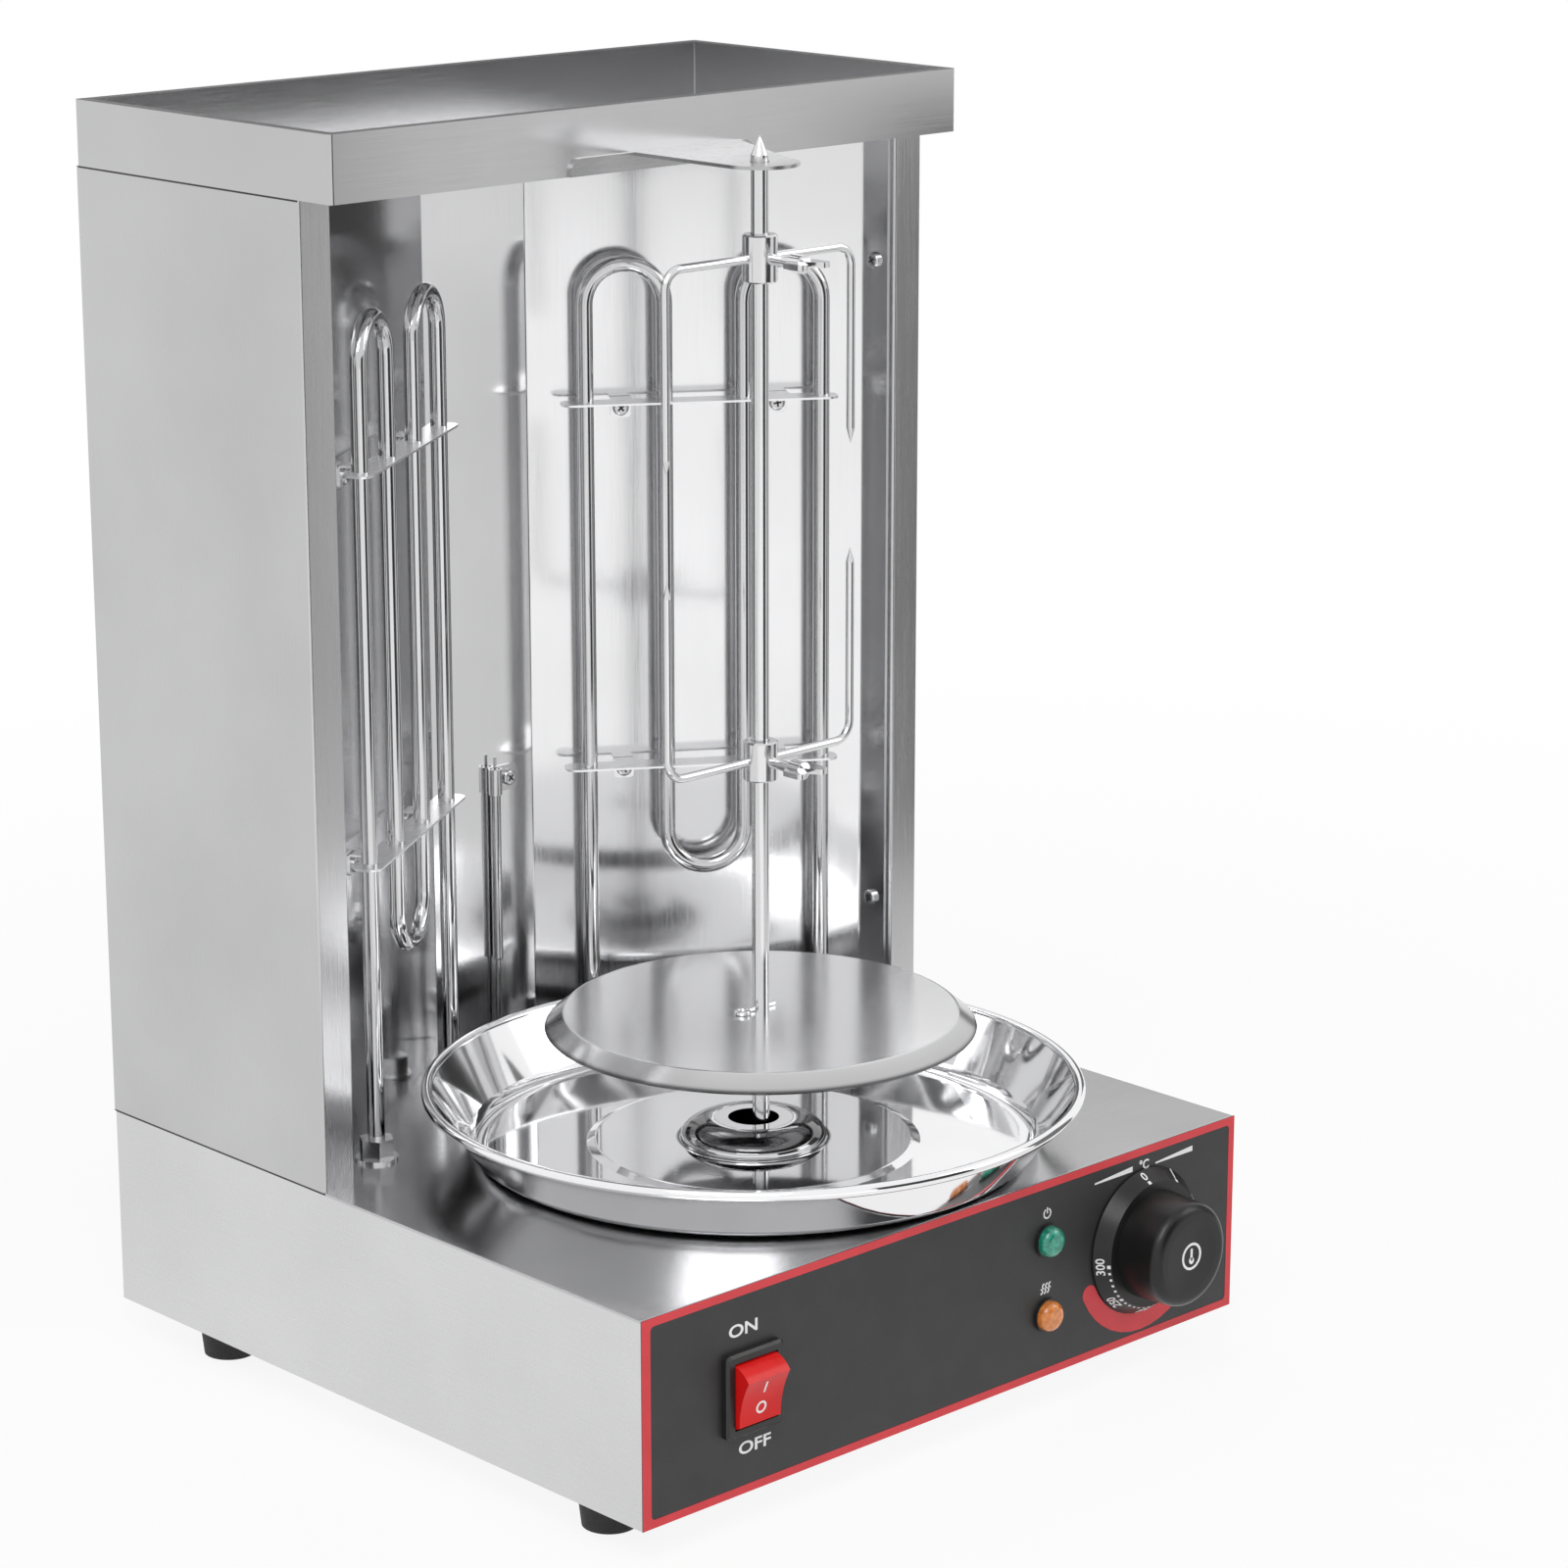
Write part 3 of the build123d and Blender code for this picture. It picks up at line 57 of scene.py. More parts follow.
def start_material(name):
    """New node material: returns it with its tree and its main shader."""
    material = bpy.data.materials.new(name)
    material.use_nodes = True
    tree = material.node_tree
    return material, tree, tree.nodes["Principled BSDF"]


def own_place(tree):
    """Place on the object, in its own metres."""
    return tree.nodes.new("ShaderNodeTexCoord").outputs["Object"]


def noise(tree, scale, stretch=(1, 1, 1), detail=4.0):
    """Noise with cells in a metre as its scale, drawn out along the axes with a small stretch."""
    mapping = tree.nodes.new("ShaderNodeMapping")
    mapping.inputs["Scale"].default_value = stretch
    texture = tree.nodes.new("ShaderNodeTexNoise")
    texture.inputs["Scale"].default_value = scale
    texture.inputs["Detail"].default_value = detail
    tree.links.new(own_place(tree), mapping.inputs["Vector"])
    tree.links.new(mapping.outputs["Vector"], texture.inputs["Vector"])
    return texture.outputs["Fac"]


def spread(tree, value, low, high, start=NOISE_LOW, end=NOISE_HIGH):
    """Value from start..end carried over to low..high."""
    node = tree.nodes.new("ShaderNodeMapRange")
    node.inputs["From Min"].default_value = start
    node.inputs["From Max"].default_value = end
    node.inputs["To Min"].default_value = low
    node.inputs["To Max"].default_value = high
    tree.links.new(value, node.inputs["Value"])
    return node.outputs["Result"]


def worked(tree, operation, first, second):
    """Result of an operation on two values."""
    node = tree.nodes.new("ShaderNodeMath")
    node.operation = operation
    tree.links.new(first, node.inputs[0])
    tree.links.new(second, node.inputs[1])
    return node.outputs[0]


def vector_step(tree, operation, value, constant=(0, 0, 0)):
    """Node that works on a vector, with a constant where the operation needs one."""
    node = tree.nodes.new("ShaderNodeVectorMath")
    node.operation = operation
    node.inputs[1].default_value = constant
    tree.links.new(value, node.inputs[0])
    return node


def blend(tree, factor, first, second):
    """Colour between first and second."""
    node = tree.nodes.new("ShaderNodeMix")
    node.data_type = "RGBA"
    for socket, colour in ((node.inputs[MIX_FIRST], first), (node.inputs[MIX_SECOND], second)):
        if isinstance(colour, bpy.types.NodeSocket):
            tree.links.new(colour, socket)
        else:
            socket.default_value = (*colour, 1)
    tree.links.new(factor, node.inputs["Factor"])
    return node.outputs[MIX_RESULT]


def relief(tree, shader, height, depth, under=None):
    """Bump of a depth in metres on the shader, over another bump if one is given."""
    node = tree.nodes.new("ShaderNodeBump")
    node.inputs["Distance"].default_value = depth
    tree.links.new(height, node.inputs["Height"])
    if under is not None:
        tree.links.new(under, node.inputs["Normal"])
    tree.links.new(node.outputs["Normal"], shader.inputs["Normal"])
    return node.outputs["Normal"]


def middle(node):
    """Middle of a node's box."""
    low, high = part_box(node)
    return (low + high) / 2


# Rings of painted highlight and painted shade about an upright axis, for the turned sheet parts

RING_REACH = 200.0 * MM  # radius at the end of the colour ramp
PAINTED_SHADE_TONE = 0.03  # tone of the painted shade where the share is none
PAN_BOSS_PAINTED_LIGHT = (
    (19.5 * MM, 1.0),
    (21.0 * MM, 0.25),
    (34.2 * MM, 0.16),
    (34.4 * MM, 1.0),
    (34.65 * MM, 1.0),
    (34.9 * MM, 0.0),
    (35.6 * MM, 0.0),
    (36.4 * MM, 1.0),
)  # boss of the pan: painted highlight on the top, a painted dark reflection on the slope, a painted highlight on the foot and a painted shadow line about it
DISC_RIM_PAINTED_SHADE = (
    (91.0 * MM, 1.0),
    (92.5 * MM, 0.60),
    (99.0 * MM, 0.52),
    (99.8 * MM, 0.1),
)  # meat disc: bright face, rim darkened as a painted reflection, with a painted shadow along its edge


def rings(tree, centre, steps):
    """Share of full tone about an upright axis, for painted highlight and shade; steps are (radius, share)
    going out.
    """
    across = vector_step(tree, "SUBTRACT", own_place(tree), (centre.x, centre.y, 0))
    flat = vector_step(tree, "MULTIPLY", across.outputs["Vector"], (1 / RING_REACH, 1 / RING_REACH, 0))
    radius = vector_step(tree, "LENGTH", flat.outputs["Vector"])
    ramp = tree.nodes.new("ShaderNodeValToRGB")
    points = ramp.color_ramp.elements
    for point, (at, share) in zip([*points, *(points.new(1) for _ in steps[2:])], steps):
        point.position = at / RING_REACH
        point.color = (share, share, share, 1)
    tree.links.new(radius.outputs["Value"], ramp.inputs["Fac"])
    return ramp.outputs["Color"]


# Stainless steel

BRUSH_STRETCH = 0.012  # how little the brush marks change along the brushing
ALONG_X = (BRUSH_STRETCH, 1, 1)
ALONG_Y = (1, BRUSH_STRETCH, 1)
ALONG_Z = (1, 1, BRUSH_STRETCH)
BRUSH_SCALE = 2600
BRUSH_DEPTH = 0.01 * MM  # of full brush lines
BRUSH_PULL = 0.25  # how far the brushing draws out a highlight
STEEL_CLOUDS = 9
WAVE_SCALE = 7
WAVE_STRETCH = (1, 1, 0.35)  # waves in thin sheet, drawn out upward
COOL_LOW = 1.01  # blue over grey in the darker tone
COOL_HIGH = 1.012  # blue over grey in the lighter tone


def steel(name, tone, gloss, brush, lines=0.4, waves=0.0, tint=None):
    """Stainless steel.

    tone and gloss are (low, high) of colour and roughness, brush is the direction of the lines, lines their
    share of the full depth, waves a depth in millimetres, and tint the centre and steps of rings of painted
    highlight and shade.
    """
    material, tree, shader = start_material(name)
    streaks = noise(tree, BRUSH_SCALE, brush, detail=3)
    clouds = noise(tree, STEEL_CLOUDS, detail=3)
    low, high = tone
    dark = (low, low, low * COOL_LOW)
    light = (high, high, high * COOL_HIGH)
    colour = blend(tree, spread(tree, clouds, 0, 1), dark, light)
    # Painted highlight and painted shade in rings, laid over the steel's colour
    if tint:
        colour = blend(tree, rings(tree, *tint), (PAINTED_SHADE_TONE, PAINTED_SHADE_TONE, PAINTED_SHADE_TONE), colour)
    tree.links.new(colour, shader.inputs["Base Color"])
    shader.inputs["Metallic"].default_value = 1.0
    shader.inputs["Anisotropic"].default_value = BRUSH_PULL
    tree.links.new(spread(tree, streaks, *gloss), shader.inputs["Roughness"])
    under = None
    if waves:
        under = relief(tree, shader, noise(tree, WAVE_SCALE, WAVE_STRETCH, detail=1), waves * MM)
    relief(tree, shader, streaks, lines * BRUSH_DEPTH, under)
    return material


sheet_steel = steel("sheet_steel", tone=(0.52, 0.58), gloss=(0.20, 0.28), brush=ALONG_Z, lines=0.25)
base_steel = steel("base_steel", tone=(0.64, 0.70), gloss=(0.24, 0.34), brush=ALONG_Y)
tray_steel = steel("tray_steel", tone=(0.52, 0.57), gloss=(0.16, 0.22), brush=ALONG_X, lines=0.06)
bracket_steel = steel("bracket_steel", tone=(0.42, 0.47), gloss=(0.24, 0.32), brush=ALONG_X, lines=0.12)
deck_steel = steel("deck_steel", tone=(0.48, 0.55), gloss=(0.16, 0.22), brush=ALONG_X, lines=0.04)
bright_steel = steel(
    "bright_steel",
    tone=(0.67, 0.73),
    gloss=(0.10, 0.16),
    brush=ALONG_Z,
    lines=0.05,
    waves=0.2,
)
tube_steel = steel("tube_steel", tone=(0.53, 0.61), gloss=(0.06, 0.11), brush=ALONG_Z, lines=0.03)
rod_steel = steel("rod_steel", tone=(0.64, 0.72), gloss=(0.10, 0.18), brush=ALONG_Z, lines=0.1)
strap_steel = steel("strap_steel", tone=(0.84, 0.90), gloss=(0.26, 0.36), brush=ALONG_X, lines=0.15)
disc_steel = steel(
    "disc_steel",
    tone=(0.90, 0.95),
    gloss=(0.13, 0.20),
    brush=ALONG_X,
    lines=0.15,
    # painted reflection on the rim and a painted shadow at the disc's edge
    tint=(middle("meat_disc"), DISC_RIM_PAINTED_SHADE),
)
pan_steel = steel(
    "pan_steel",
    tone=(0.86, 0.91),
    gloss=(0.04, 0.08),
    brush=ALONG_X,
    lines=0.05,
    waves=0.12,
    # painted highlight, painted reflection and a painted shadow line on the pan's boss
    tint=(middle("drip_pan"), PAN_BOSS_PAINTED_LIGHT),
)
screw_steel = steel("screw_steel", tone=(0.52, 0.60), gloss=(0.16, 0.26), brush=ALONG_X, lines=0.2)
nut_steel = steel("nut_steel", tone=(0.90, 0.95), gloss=(0.10, 0.18), brush=ALONG_X, lines=0.1)
motor_metal = steel("motor_metal", tone=(0.36, 0.44), gloss=(0.34, 0.5), brush=ALONG_X, lines=0.5)
bulb_metal = steel("bulb_metal", tone=(0.42, 0.50), gloss=(0.10, 0.18), brush=ALONG_Z, lines=0.1)


# Plastic, rubber and ink

PLASTIC_CLOUDS = 60
PLASTIC_GRAIN = 900


def plastic(name, dark, light, gloss, depth=0.012, shine=0.5):
    """Moulded plastic: colour clouded from dark to light, fine grain of a depth in millimetres."""
    material, tree, shader = start_material(name)
    clouds = noise(tree, PLASTIC_CLOUDS, detail=4)
    fine = noise(tree, PLASTIC_GRAIN, detail=2)
    tree.links.new(blend(tree, spread(tree, clouds, 0, 1), dark, light), shader.inputs["Base Color"])
    tree.links.new(spread(tree, fine, *gloss), shader.inputs["Roughness"])
    shader.inputs["Specular IOR Level"].default_value = shine
    relief(tree, shader, fine, depth * MM)
    return material


black_plastic = plastic(
    "black_plastic",
    dark=(0.010, 0.010, 0.011),
    light=(0.018, 0.018, 0.019),
    gloss=(0.30, 0.42),
)
overlay_film = plastic(
    "overlay_film",
    dark=(0.022, 0.022, 0.023),
    light=(0.028, 0.028, 0.029),
    gloss=(0.42, 0.52),
    depth=0.006,
)
knob_plastic = plastic(
    "knob_plastic",
    dark=(0.006, 0.006, 0.006),
    light=(0.011, 0.011, 0.011),
    gloss=(0.28, 0.36),
    depth=0.004,
    shine=0.4,
)
rubber = plastic(
    "rubber",
    dark=(0.010, 0.010, 0.010),
    light=(0.020, 0.020, 0.020),
    gloss=(0.55, 0.75),
    depth=0.03,
)
red_plastic = plastic(
    "red_plastic",
    dark=(0.60, 0.006, 0.006),
    light=(0.70, 0.010, 0.009),
    gloss=(0.16, 0.26),
    depth=0.004,
    shine=0.25,
)
red_ink = plastic(
    "red_ink",
    dark=(0.60, 0.028, 0.038),
    light=(0.68, 0.034, 0.046),
    gloss=(0.34, 0.46),
    depth=0.004,
)
white_ink = plastic(
    "white_ink",
    dark=(0.78, 0.78, 0.78),
    light=(0.86, 0.86, 0.86),
    gloss=(0.40, 0.5),
    depth=0.004,
)
pale_plastic = plastic(
    "pale_plastic",
    dark=(0.66, 0.65, 0.61),
    light=(0.74, 0.73, 0.69),
    gloss=(0.36, 0.5),
)
# Near-black, for painted shade in the screws' cross recesses and in the grooves along the tower's joints
painted_shade_dark = plastic(
    "painted_shade_dark",
    dark=(0.012, 0.012, 0.012),
    light=(0.03, 0.03, 0.03),
    gloss=(0.5, 0.7),
)


# Lenses of the pilot lamps

FACETS = 420  # facets in a metre of lens
FACET_REACH = (0.1, 0.75)  # distances in a facet over which the tint deepens
FACET_SHARE = 0.7  # share of the deep tint at a facet's edge
FACET_DEPTH = 0.15 * MM
LENS_GRAIN = 400
LENS_GLOSS = (0.10, 0.22)
LENS_COAT = 0.8
LENS_COAT_ROUGHNESS = 0.06
LENS_GLOW = 0.1


def lens(name, deep, bright):
    """Lens of a pilot lamp: small facets inside, under a smooth clear face."""
    material, tree, shader = start_material(name)
    facets = tree.nodes.new("ShaderNodeTexVoronoi")
    facets.inputs["Scale"].default_value = FACETS
    tree.links.new(own_place(tree), facets.inputs["Vector"])
    distance = facets.outputs["Distance"]
    tint = blend(tree, spread(tree, distance, 0, FACET_SHARE, *FACET_REACH), bright, deep)
    tree.links.new(tint, shader.inputs["Base Color"])
    tree.links.new(spread(tree, noise(tree, LENS_GRAIN), *LENS_GLOSS), shader.inputs["Roughness"])
    shader.inputs["Coat Weight"].default_value = LENS_COAT
    shader.inputs["Coat Roughness"].default_value = LENS_COAT_ROUGHNESS
    tree.links.new(tint, shader.inputs["Emission Color"])
    shader.inputs["Emission Strength"].default_value = LENS_GLOW
    relief(tree, shader, distance, FACET_DEPTH)
    return material


green_lens = lens("green_lens", deep=(0.0, 0.10, 0.06), bright=(0.02, 0.36, 0.24))
amber_lens = lens("amber_lens", deep=(0.42, 0.11, 0.015), bright=(0.74, 0.25, 0.05))


# Finish of each part of the frame

FINISHES = {
    sheet_steel: ["tower_left_side", "tower_right_side", "tower_back"],
    base_steel: ["base_wrap", "bottom_plate", "front_panel"],
    tray_steel: ["top_tray"],
    bracket_steel: ["spit_bracket"],
    deck_steel: ["base_deck"],
    bright_steel: ["reflector"],
    tube_steel: ["left_element", "right_element"],
    rod_steel: [
        "spit_rod",
        "disc_stop",
        "disc_pin",
        "upper_fork",
        "lower_fork",
        "upper_thumbscrew",
        "lower_thumbscrew",
        "drive_hub",
        "motor_shaft",
    ],
    strap_steel: ["left_lower_strap", "left_upper_strap", "right_lower_strap", "right_upper_strap"],
    disc_steel: ["meat_disc"],
    pan_steel: ["drip_pan"],
    screw_steel: [
        "foot_screws",
        "cover_screws",
        "reflector_screws",
        "strap_screws",
        "sensor_screw",
        "sensor_clip",
        "motor_screws",
        "thermostat_shaft",
    ],
    nut_steel: ["element_washers", "element_nuts"],
    motor_metal: ["gear_motor", "motor_bracket", "thermostat_body"],
    black_plastic: ["switch_body", "cord_gland", "gland_nut", "power_lamp", "heat_lamp"],
    overlay_film: ["panel_overlay"],
    knob_plastic: ["dial_skirt", "knob_cap"],
    bulb_metal: ["sensor_bulb"],
    rubber: ["feet"],
    red_plastic: ["switch_rocker"],
    pale_plastic: ["terminal_block"],
    green_lens: ["power_lens"],
    amber_lens: ["heat_lens"],
}
for material, names in FINISHES.items():
    for name in names:
        nodes[name].data.materials.clear()
        nodes[name].data.materials.append(material)


# Outlines for flat work

ARC_STEPS = 10  # straight pieces in a quarter turn of an outline


def polar(centre, radius, angle):
    """Point at an angle about a centre."""
    return (centre[0] + radius * cos(radians(angle)), centre[1] + radius * sin(radians(angle)))


def arc(centre, radius, first, last):
    """Points of an arc between two angles."""
    steps = max(2, round(abs(last - first) / 90 * ARC_STEPS))
    return [polar(centre, radius, first + (last - first) * step / steps) for step in range(steps + 1)]


def circle(centre, radius):
    """Outline of a full circle."""
    return arc(centre, radius, 0, 360)[:-1]


def bar(x0, y0, x1, y1):
    """Outline of a rectangle."""
    return [(x0, y0), (x1, y0), (x1, y1), (x0, y1)]


def rounded_box(low, high, radius):
    """Outline of a rectangle with round corners."""
    corners = [
        (high[0] - radius, high[1] - radius, 0),
        (low[0] + radius, high[1] - radius, 90),
        (low[0] + radius, low[1] + radius, 180),
        (high[0] - radius, low[1] + radius, 270),
    ]
    return [p for x, y, turn in corners for p in arc((x, y), radius, turn, turn + 90)]


def ring_part(centre, inner, outer, first, last):
    """Outline of a band between two radii, with round ends."""
    half = (outer - inner) / 2
    mean = (outer + inner) / 2
    points = arc(centre, outer, first, last)
    points += arc(polar(centre, mean, last), half, last, last + 180)[1:-1]
    points += arc(centre, inner, last, first)
    return points + arc(polar(centre, mean, first), half, first + 180, first + 360)[1:-1]


# Helpers for the added pieces

INK = 0.12 * MM  # thickness of a printed or inlaid mark


def show(obj):
    """Put an object into the scene."""
    bpy.context.scene.collection.objects.link(obj)
    return obj


def dressed(name, mesh, material, body):
    """Piece of a mesh, with a material, riding on a body."""
    mesh.materials.clear()
    mesh.materials.append(material)
    mesh.name = name
    piece = show(bpy.data.objects.new(name, mesh))
    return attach(piece, body)


def as_piece(source, name, place, material, body):
    """Mesh piece from a curve or text, set at its place and riding on a body."""
    graph = bpy.context.evaluated_depsgraph_get()
    mesh = bpy.data.meshes.new_from_object(source.evaluated_get(graph))
    bpy.data.objects.remove(source)
    mesh.transform(place)
    return dressed(name, mesh, material, body)


def mark(name, loops, place, material, body, slot, thickness=INK):
    """Flat mark from closed outlines; an outline inside another is a hole."""
    curve = bpy.data.curves.new(name, "CURVE")
    curve.dimensions = "2D"
    curve.fill_mode = "BOTH"
    curve.extrude = thickness / 2
    for points in loops:
        spline = curve.splines.new("POLY")
        spline.points.add(len(points) - 1)
        for point, (x, y) in zip(spline.points, points):
            point.co = (x, y, 0, 1)
        spline.use_cyclic_u = True
    return as_piece(show(bpy.data.objects.new(name, curve)), name, place, material, body)


def flats(name, outlines, material, body, slot):
    """One piece of many flat marks, each given by its outline in space."""
    points = []
    faces = []
    for outline in outlines:
        corners = [Vector(corner) for corner in outline]
        count = len(corners)
        start = len(points)
        out = normal(corners) * INK / 2
        points += [corner + out for corner in corners] + [corner - out for corner in corners]
        faces.append([start + i for i in range(count)])
        faces.append([start + count + i for i in reversed(range(count))])
        for i in range(count):
            after = (i + 1) % count
            faces.append([start + i, start + count + i, start + count + after, start + after])
    mesh = bpy.data.meshes.new(name)
    mesh.from_pydata(points, [], faces)
    return dressed(name, mesh, material, body)


def lettering(name, text, height, place, material, body, slot, weight=0.0, wide=1.0):
    """Plain text, as tall as asked, stretched sideways and centred on its place."""
    font = bpy.data.curves.new(name, "FONT")
    font.body = text
    font.size = height
    font.extrude = INK / 2
    font.offset = weight
    font.align_x = "CENTER"
    font.align_y = "CENTER"
    letters = show(bpy.data.objects.new(name, font))
    bpy.context.view_layer.update()
    font.size = height * height / letters.dimensions.y
    stretched = place @ Matrix.Scale(wide, 4, (1, 0, 0))
    return as_piece(letters, name, stretched, material, body)


def facing(origin, right, out):
    """Matrix that sets flat work at an origin, with its right hand and its face as given."""
    right = Vector(right).normalized()
    out = Vector(out).normalized()
    up = out.cross(right)
    axes = Matrix((right, up, out)).transposed().to_4x4()
    return Matrix.Translation(origin) @ axes


# Printed front panel

BORDER = 3.8 * MM
BORDER_LEFT = 5.0 * MM
BORDER_CORNER = 2.2 * MM
PANEL_RED = (red_ink, "housing", "overlay")
PANEL_WHITE = (white_ink, "housing", "overlay")
panel_low, panel_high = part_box("panel_overlay")
PRINT_Y = panel_low.y - INK / 2


def on_panel(x, z):
    """Place on the front panel, facing out."""
    return facing((x, PRINT_Y, z), (1, 0, 0), (0, -1, 0))


AT_PANEL = on_panel(0, 0)
border_out = bar(panel_low.x, panel_low.z, panel_high.x, panel_high.z)
border_in = rounded_box(
    (panel_low.x + BORDER_LEFT, panel_low.z + BORDER),
    (panel_high.x - BORDER, panel_high.z - BORDER),
    BORDER_CORNER,
)
mark("panel_border", [border_out, border_in], AT_PANEL, *PANEL_RED)

# Words by the switch
switch = middle("switch_body")
WORD_H = 5.9 * MM
WORD_WEIGHT = 0.14 * MM
WORD_WIDE = 1.4
WORDS = {"ON": (-4.0 * MM, 28.5 * MM), "OFF": (2.5 * MM, -27.0 * MM)}  # from the middle of the switch
for word, (aside, rise) in WORDS.items():
    at = on_panel(switch.x + aside, switch.z + rise)
    lettering(f"{word.lower()}_word", word, WORD_H, at, *PANEL_WHITE, WORD_WEIGHT, WORD_WIDE)

# Power ring above the green lamp
SIGN_RISE = 13.0 * MM  # from the middle of a lamp to its sign
SIGN_R = 2.6 * MM
LINE_W = 0.7 * MM
POWER_FROM = 125  # the ring is open at its top
POWER_TO = 415
POWER_BAR = 1.15  # length of the bar in radii of the ring
power = middle("power_lens")
sign_z = power.z + SIGN_RISE
power_ring = ring_part((power.x, sign_z), SIGN_R - LINE_W, SIGN_R, POWER_FROM, POWER_TO)
power_bar = bar(power.x - LINE_W / 2, sign_z, power.x + LINE_W / 2, sign_z + SIGN_R * POWER_BAR)
mark("power_sign", [power_ring, power_bar], AT_PANEL, *PANEL_WHITE)

# Rising heat above the amber lamp
HEAT_SPACE = 2.1 * MM
HEAT_R = 1.5 * MM
HEAT_BEND = 80  # half of the angle of each bend
heat = middle("heat_lens")


def rising_line(x, z):
    """Outlines of the two bends of one S-shaped heat line."""
    inner = HEAT_R - LINE_W
    low = (x, z - HEAT_R + LINE_W / 2)
    high = (x + 2 * HEAT_R - LINE_W, z + HEAT_R - LINE_W / 2)
    return [
        ring_part(low, inner, HEAT_R, -HEAT_BEND, HEAT_BEND),
        ring_part(high, inner, HEAT_R, 180 - HEAT_BEND, 180 + HEAT_BEND),
    ]


for place in (-1, 0, 1):
    for half, loop in enumerate(rising_line(heat.x + place * HEAT_SPACE - HEAT_R, heat.z + SIGN_RISE)):
        mark(f"heat_sign_{place + 2}_{half + 1}", [loop], AT_PANEL, *PANEL_WHITE)

# Red band below the dial
BAND_IN = 36.0 * MM
BAND_OUT = 45.0 * MM
BAND_FROM = 206
BAND_TO = 306
dial = middle("dial_skirt")
band = ring_part((dial.x, dial.z), BAND_IN, BAND_OUT, BAND_FROM, BAND_TO)
mark("dial_band", [band], AT_PANEL, *PANEL_RED)

# Unit sign above the dial, between a low and a high wedge
UNIT_RISE = 37.0 * MM
UNIT_H = 5.0 * MM
WEDGE_FROM = 8.0 * MM
WEDGE_TO = 34.0 * MM
WEDGE_H = 2.6 * MM
unit_z = dial.z + UNIT_RISE
wedge_z = unit_z - WEDGE_H / 2
lettering("unit_sign", "°C", UNIT_H, on_panel(dial.x, unit_z), *PANEL_WHITE, WORD_WEIGHT)
for name, side, near_h, far_h in (("low_wedge", -1, WEDGE_H, LINE_W), ("high_wedge", 1, LINE_W, WEDGE_H)):
    near_x = dial.x + side * WEDGE_FROM
    far_x = dial.x + side * WEDGE_TO
    wedge = [(near_x, wedge_z), (far_x, wedge_z), (far_x, wedge_z + far_h), (near_x, wedge_z + near_h)]
    mark(name, [wedge], AT_PANEL, *PANEL_WHITE)


# Numbers and dots on the sloping skirt of the dial

KNOB_WHITE = (white_ink, "knob", "black_plastic")
EDGE_NEAR = 0.2 * MM  # points this near to an edge of the skirt lie on it
NUMBERS = (50, 100, 150, 200, 250, 300)
NUMBER_FIRST = 22.0  # from the right hand side, seen from the front
NUMBER_STEP = -39.0
ZERO_ANGLE = 97.0
NUMBER_H = 4.4 * MM
NUMBER_AT = 0.58  # share of the slope, from its front edge
NUMBER_WEIGHT = 0.08 * MM
DOTS = 6  # spaces from one number to the next
DOT = 0.6 * MM  # half of a dot's side
LARGE_DOT = 0.85 * MM
DOT_AT = 0.14  # share of the slope, from its front edge
START_ANGLE = 61.0
START_FROM = 0.3  # share of the slope where the start line begins
START_W = 0.9 * MM
skirt_low, skirt_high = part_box("dial_skirt")
skirt_points = [v.co for v in nodes["dial_skirt"].data.vertices]


def reach(y):
    """Largest radius of the skirt about the dial's axis at a depth."""
    edge = [point for point in skirt_points if abs(point.y - y) < EDGE_NEAR]
    return max(Vector((point.x - dial.x, point.z - dial.z)).length for point in edge)


skirt_front_r = reach(skirt_low.y)
skirt_back_r = reach(skirt_high.y)
slope = Vector((skirt_back_r - skirt_front_r, skirt_high.y - skirt_low.y)).normalized()


def on_skirt(angle, share):
    """Place on the skirt's slope, tops outward; share runs from the front edge to the panel."""
    outward = Vector((cos(radians(angle)), 0, sin(radians(angle))))
    radius = skirt_front_r + (skirt_back_r - skirt_front_r) * share
    depth = skirt_low.y + (skirt_high.y - skirt_low.y) * share
    out = outward * slope.y - Vector((0, 1, 0)) * slope.x
    up = outward * slope.x + Vector((0, 1, 0)) * slope.y
    origin = Vector((dial.x, depth, dial.z)) + outward * radius + out * INK / 2
    return facing(origin, up.cross(out), out)


def dot(angle, half):
    """Outline of a square dot on the skirt, by the knob."""
    at = on_skirt(angle, DOT_AT)
    return [at @ Vector((x, y, 0)) for x, y in bar(-half, -half, half, half)]


dial_marks = [dot(ZERO_ANGLE, LARGE_DOT), dot(START_ANGLE, LARGE_DOT)]
scale = {0: ZERO_ANGLE}
for place, number in enumerate(NUMBERS):
    scale[number] = NUMBER_FIRST + NUMBER_STEP * place
    dial_marks.append(dot(scale[number], LARGE_DOT))
    if number != NUMBERS[-1]:
        dial_marks += [dot(scale[number] + NUMBER_STEP * space / DOTS, DOT) for space in range(1, DOTS)]
for number, angle in scale.items():
    at = on_skirt(angle, NUMBER_AT)
    lettering(f"dial_number_{number}", str(number), NUMBER_H, at, *KNOB_WHITE, NUMBER_WEIGHT)
start_box = bar(-START_W / 2, START_FROM, START_W / 2, 1)
dial_marks.append([on_skirt(START_ANGLE, share) @ Vector((x, 0, 0)) for x, share in start_box])
flats("dial_dots", dial_marks, *KNOB_WHITE)


# Ring and thermometer sign on the knob's face

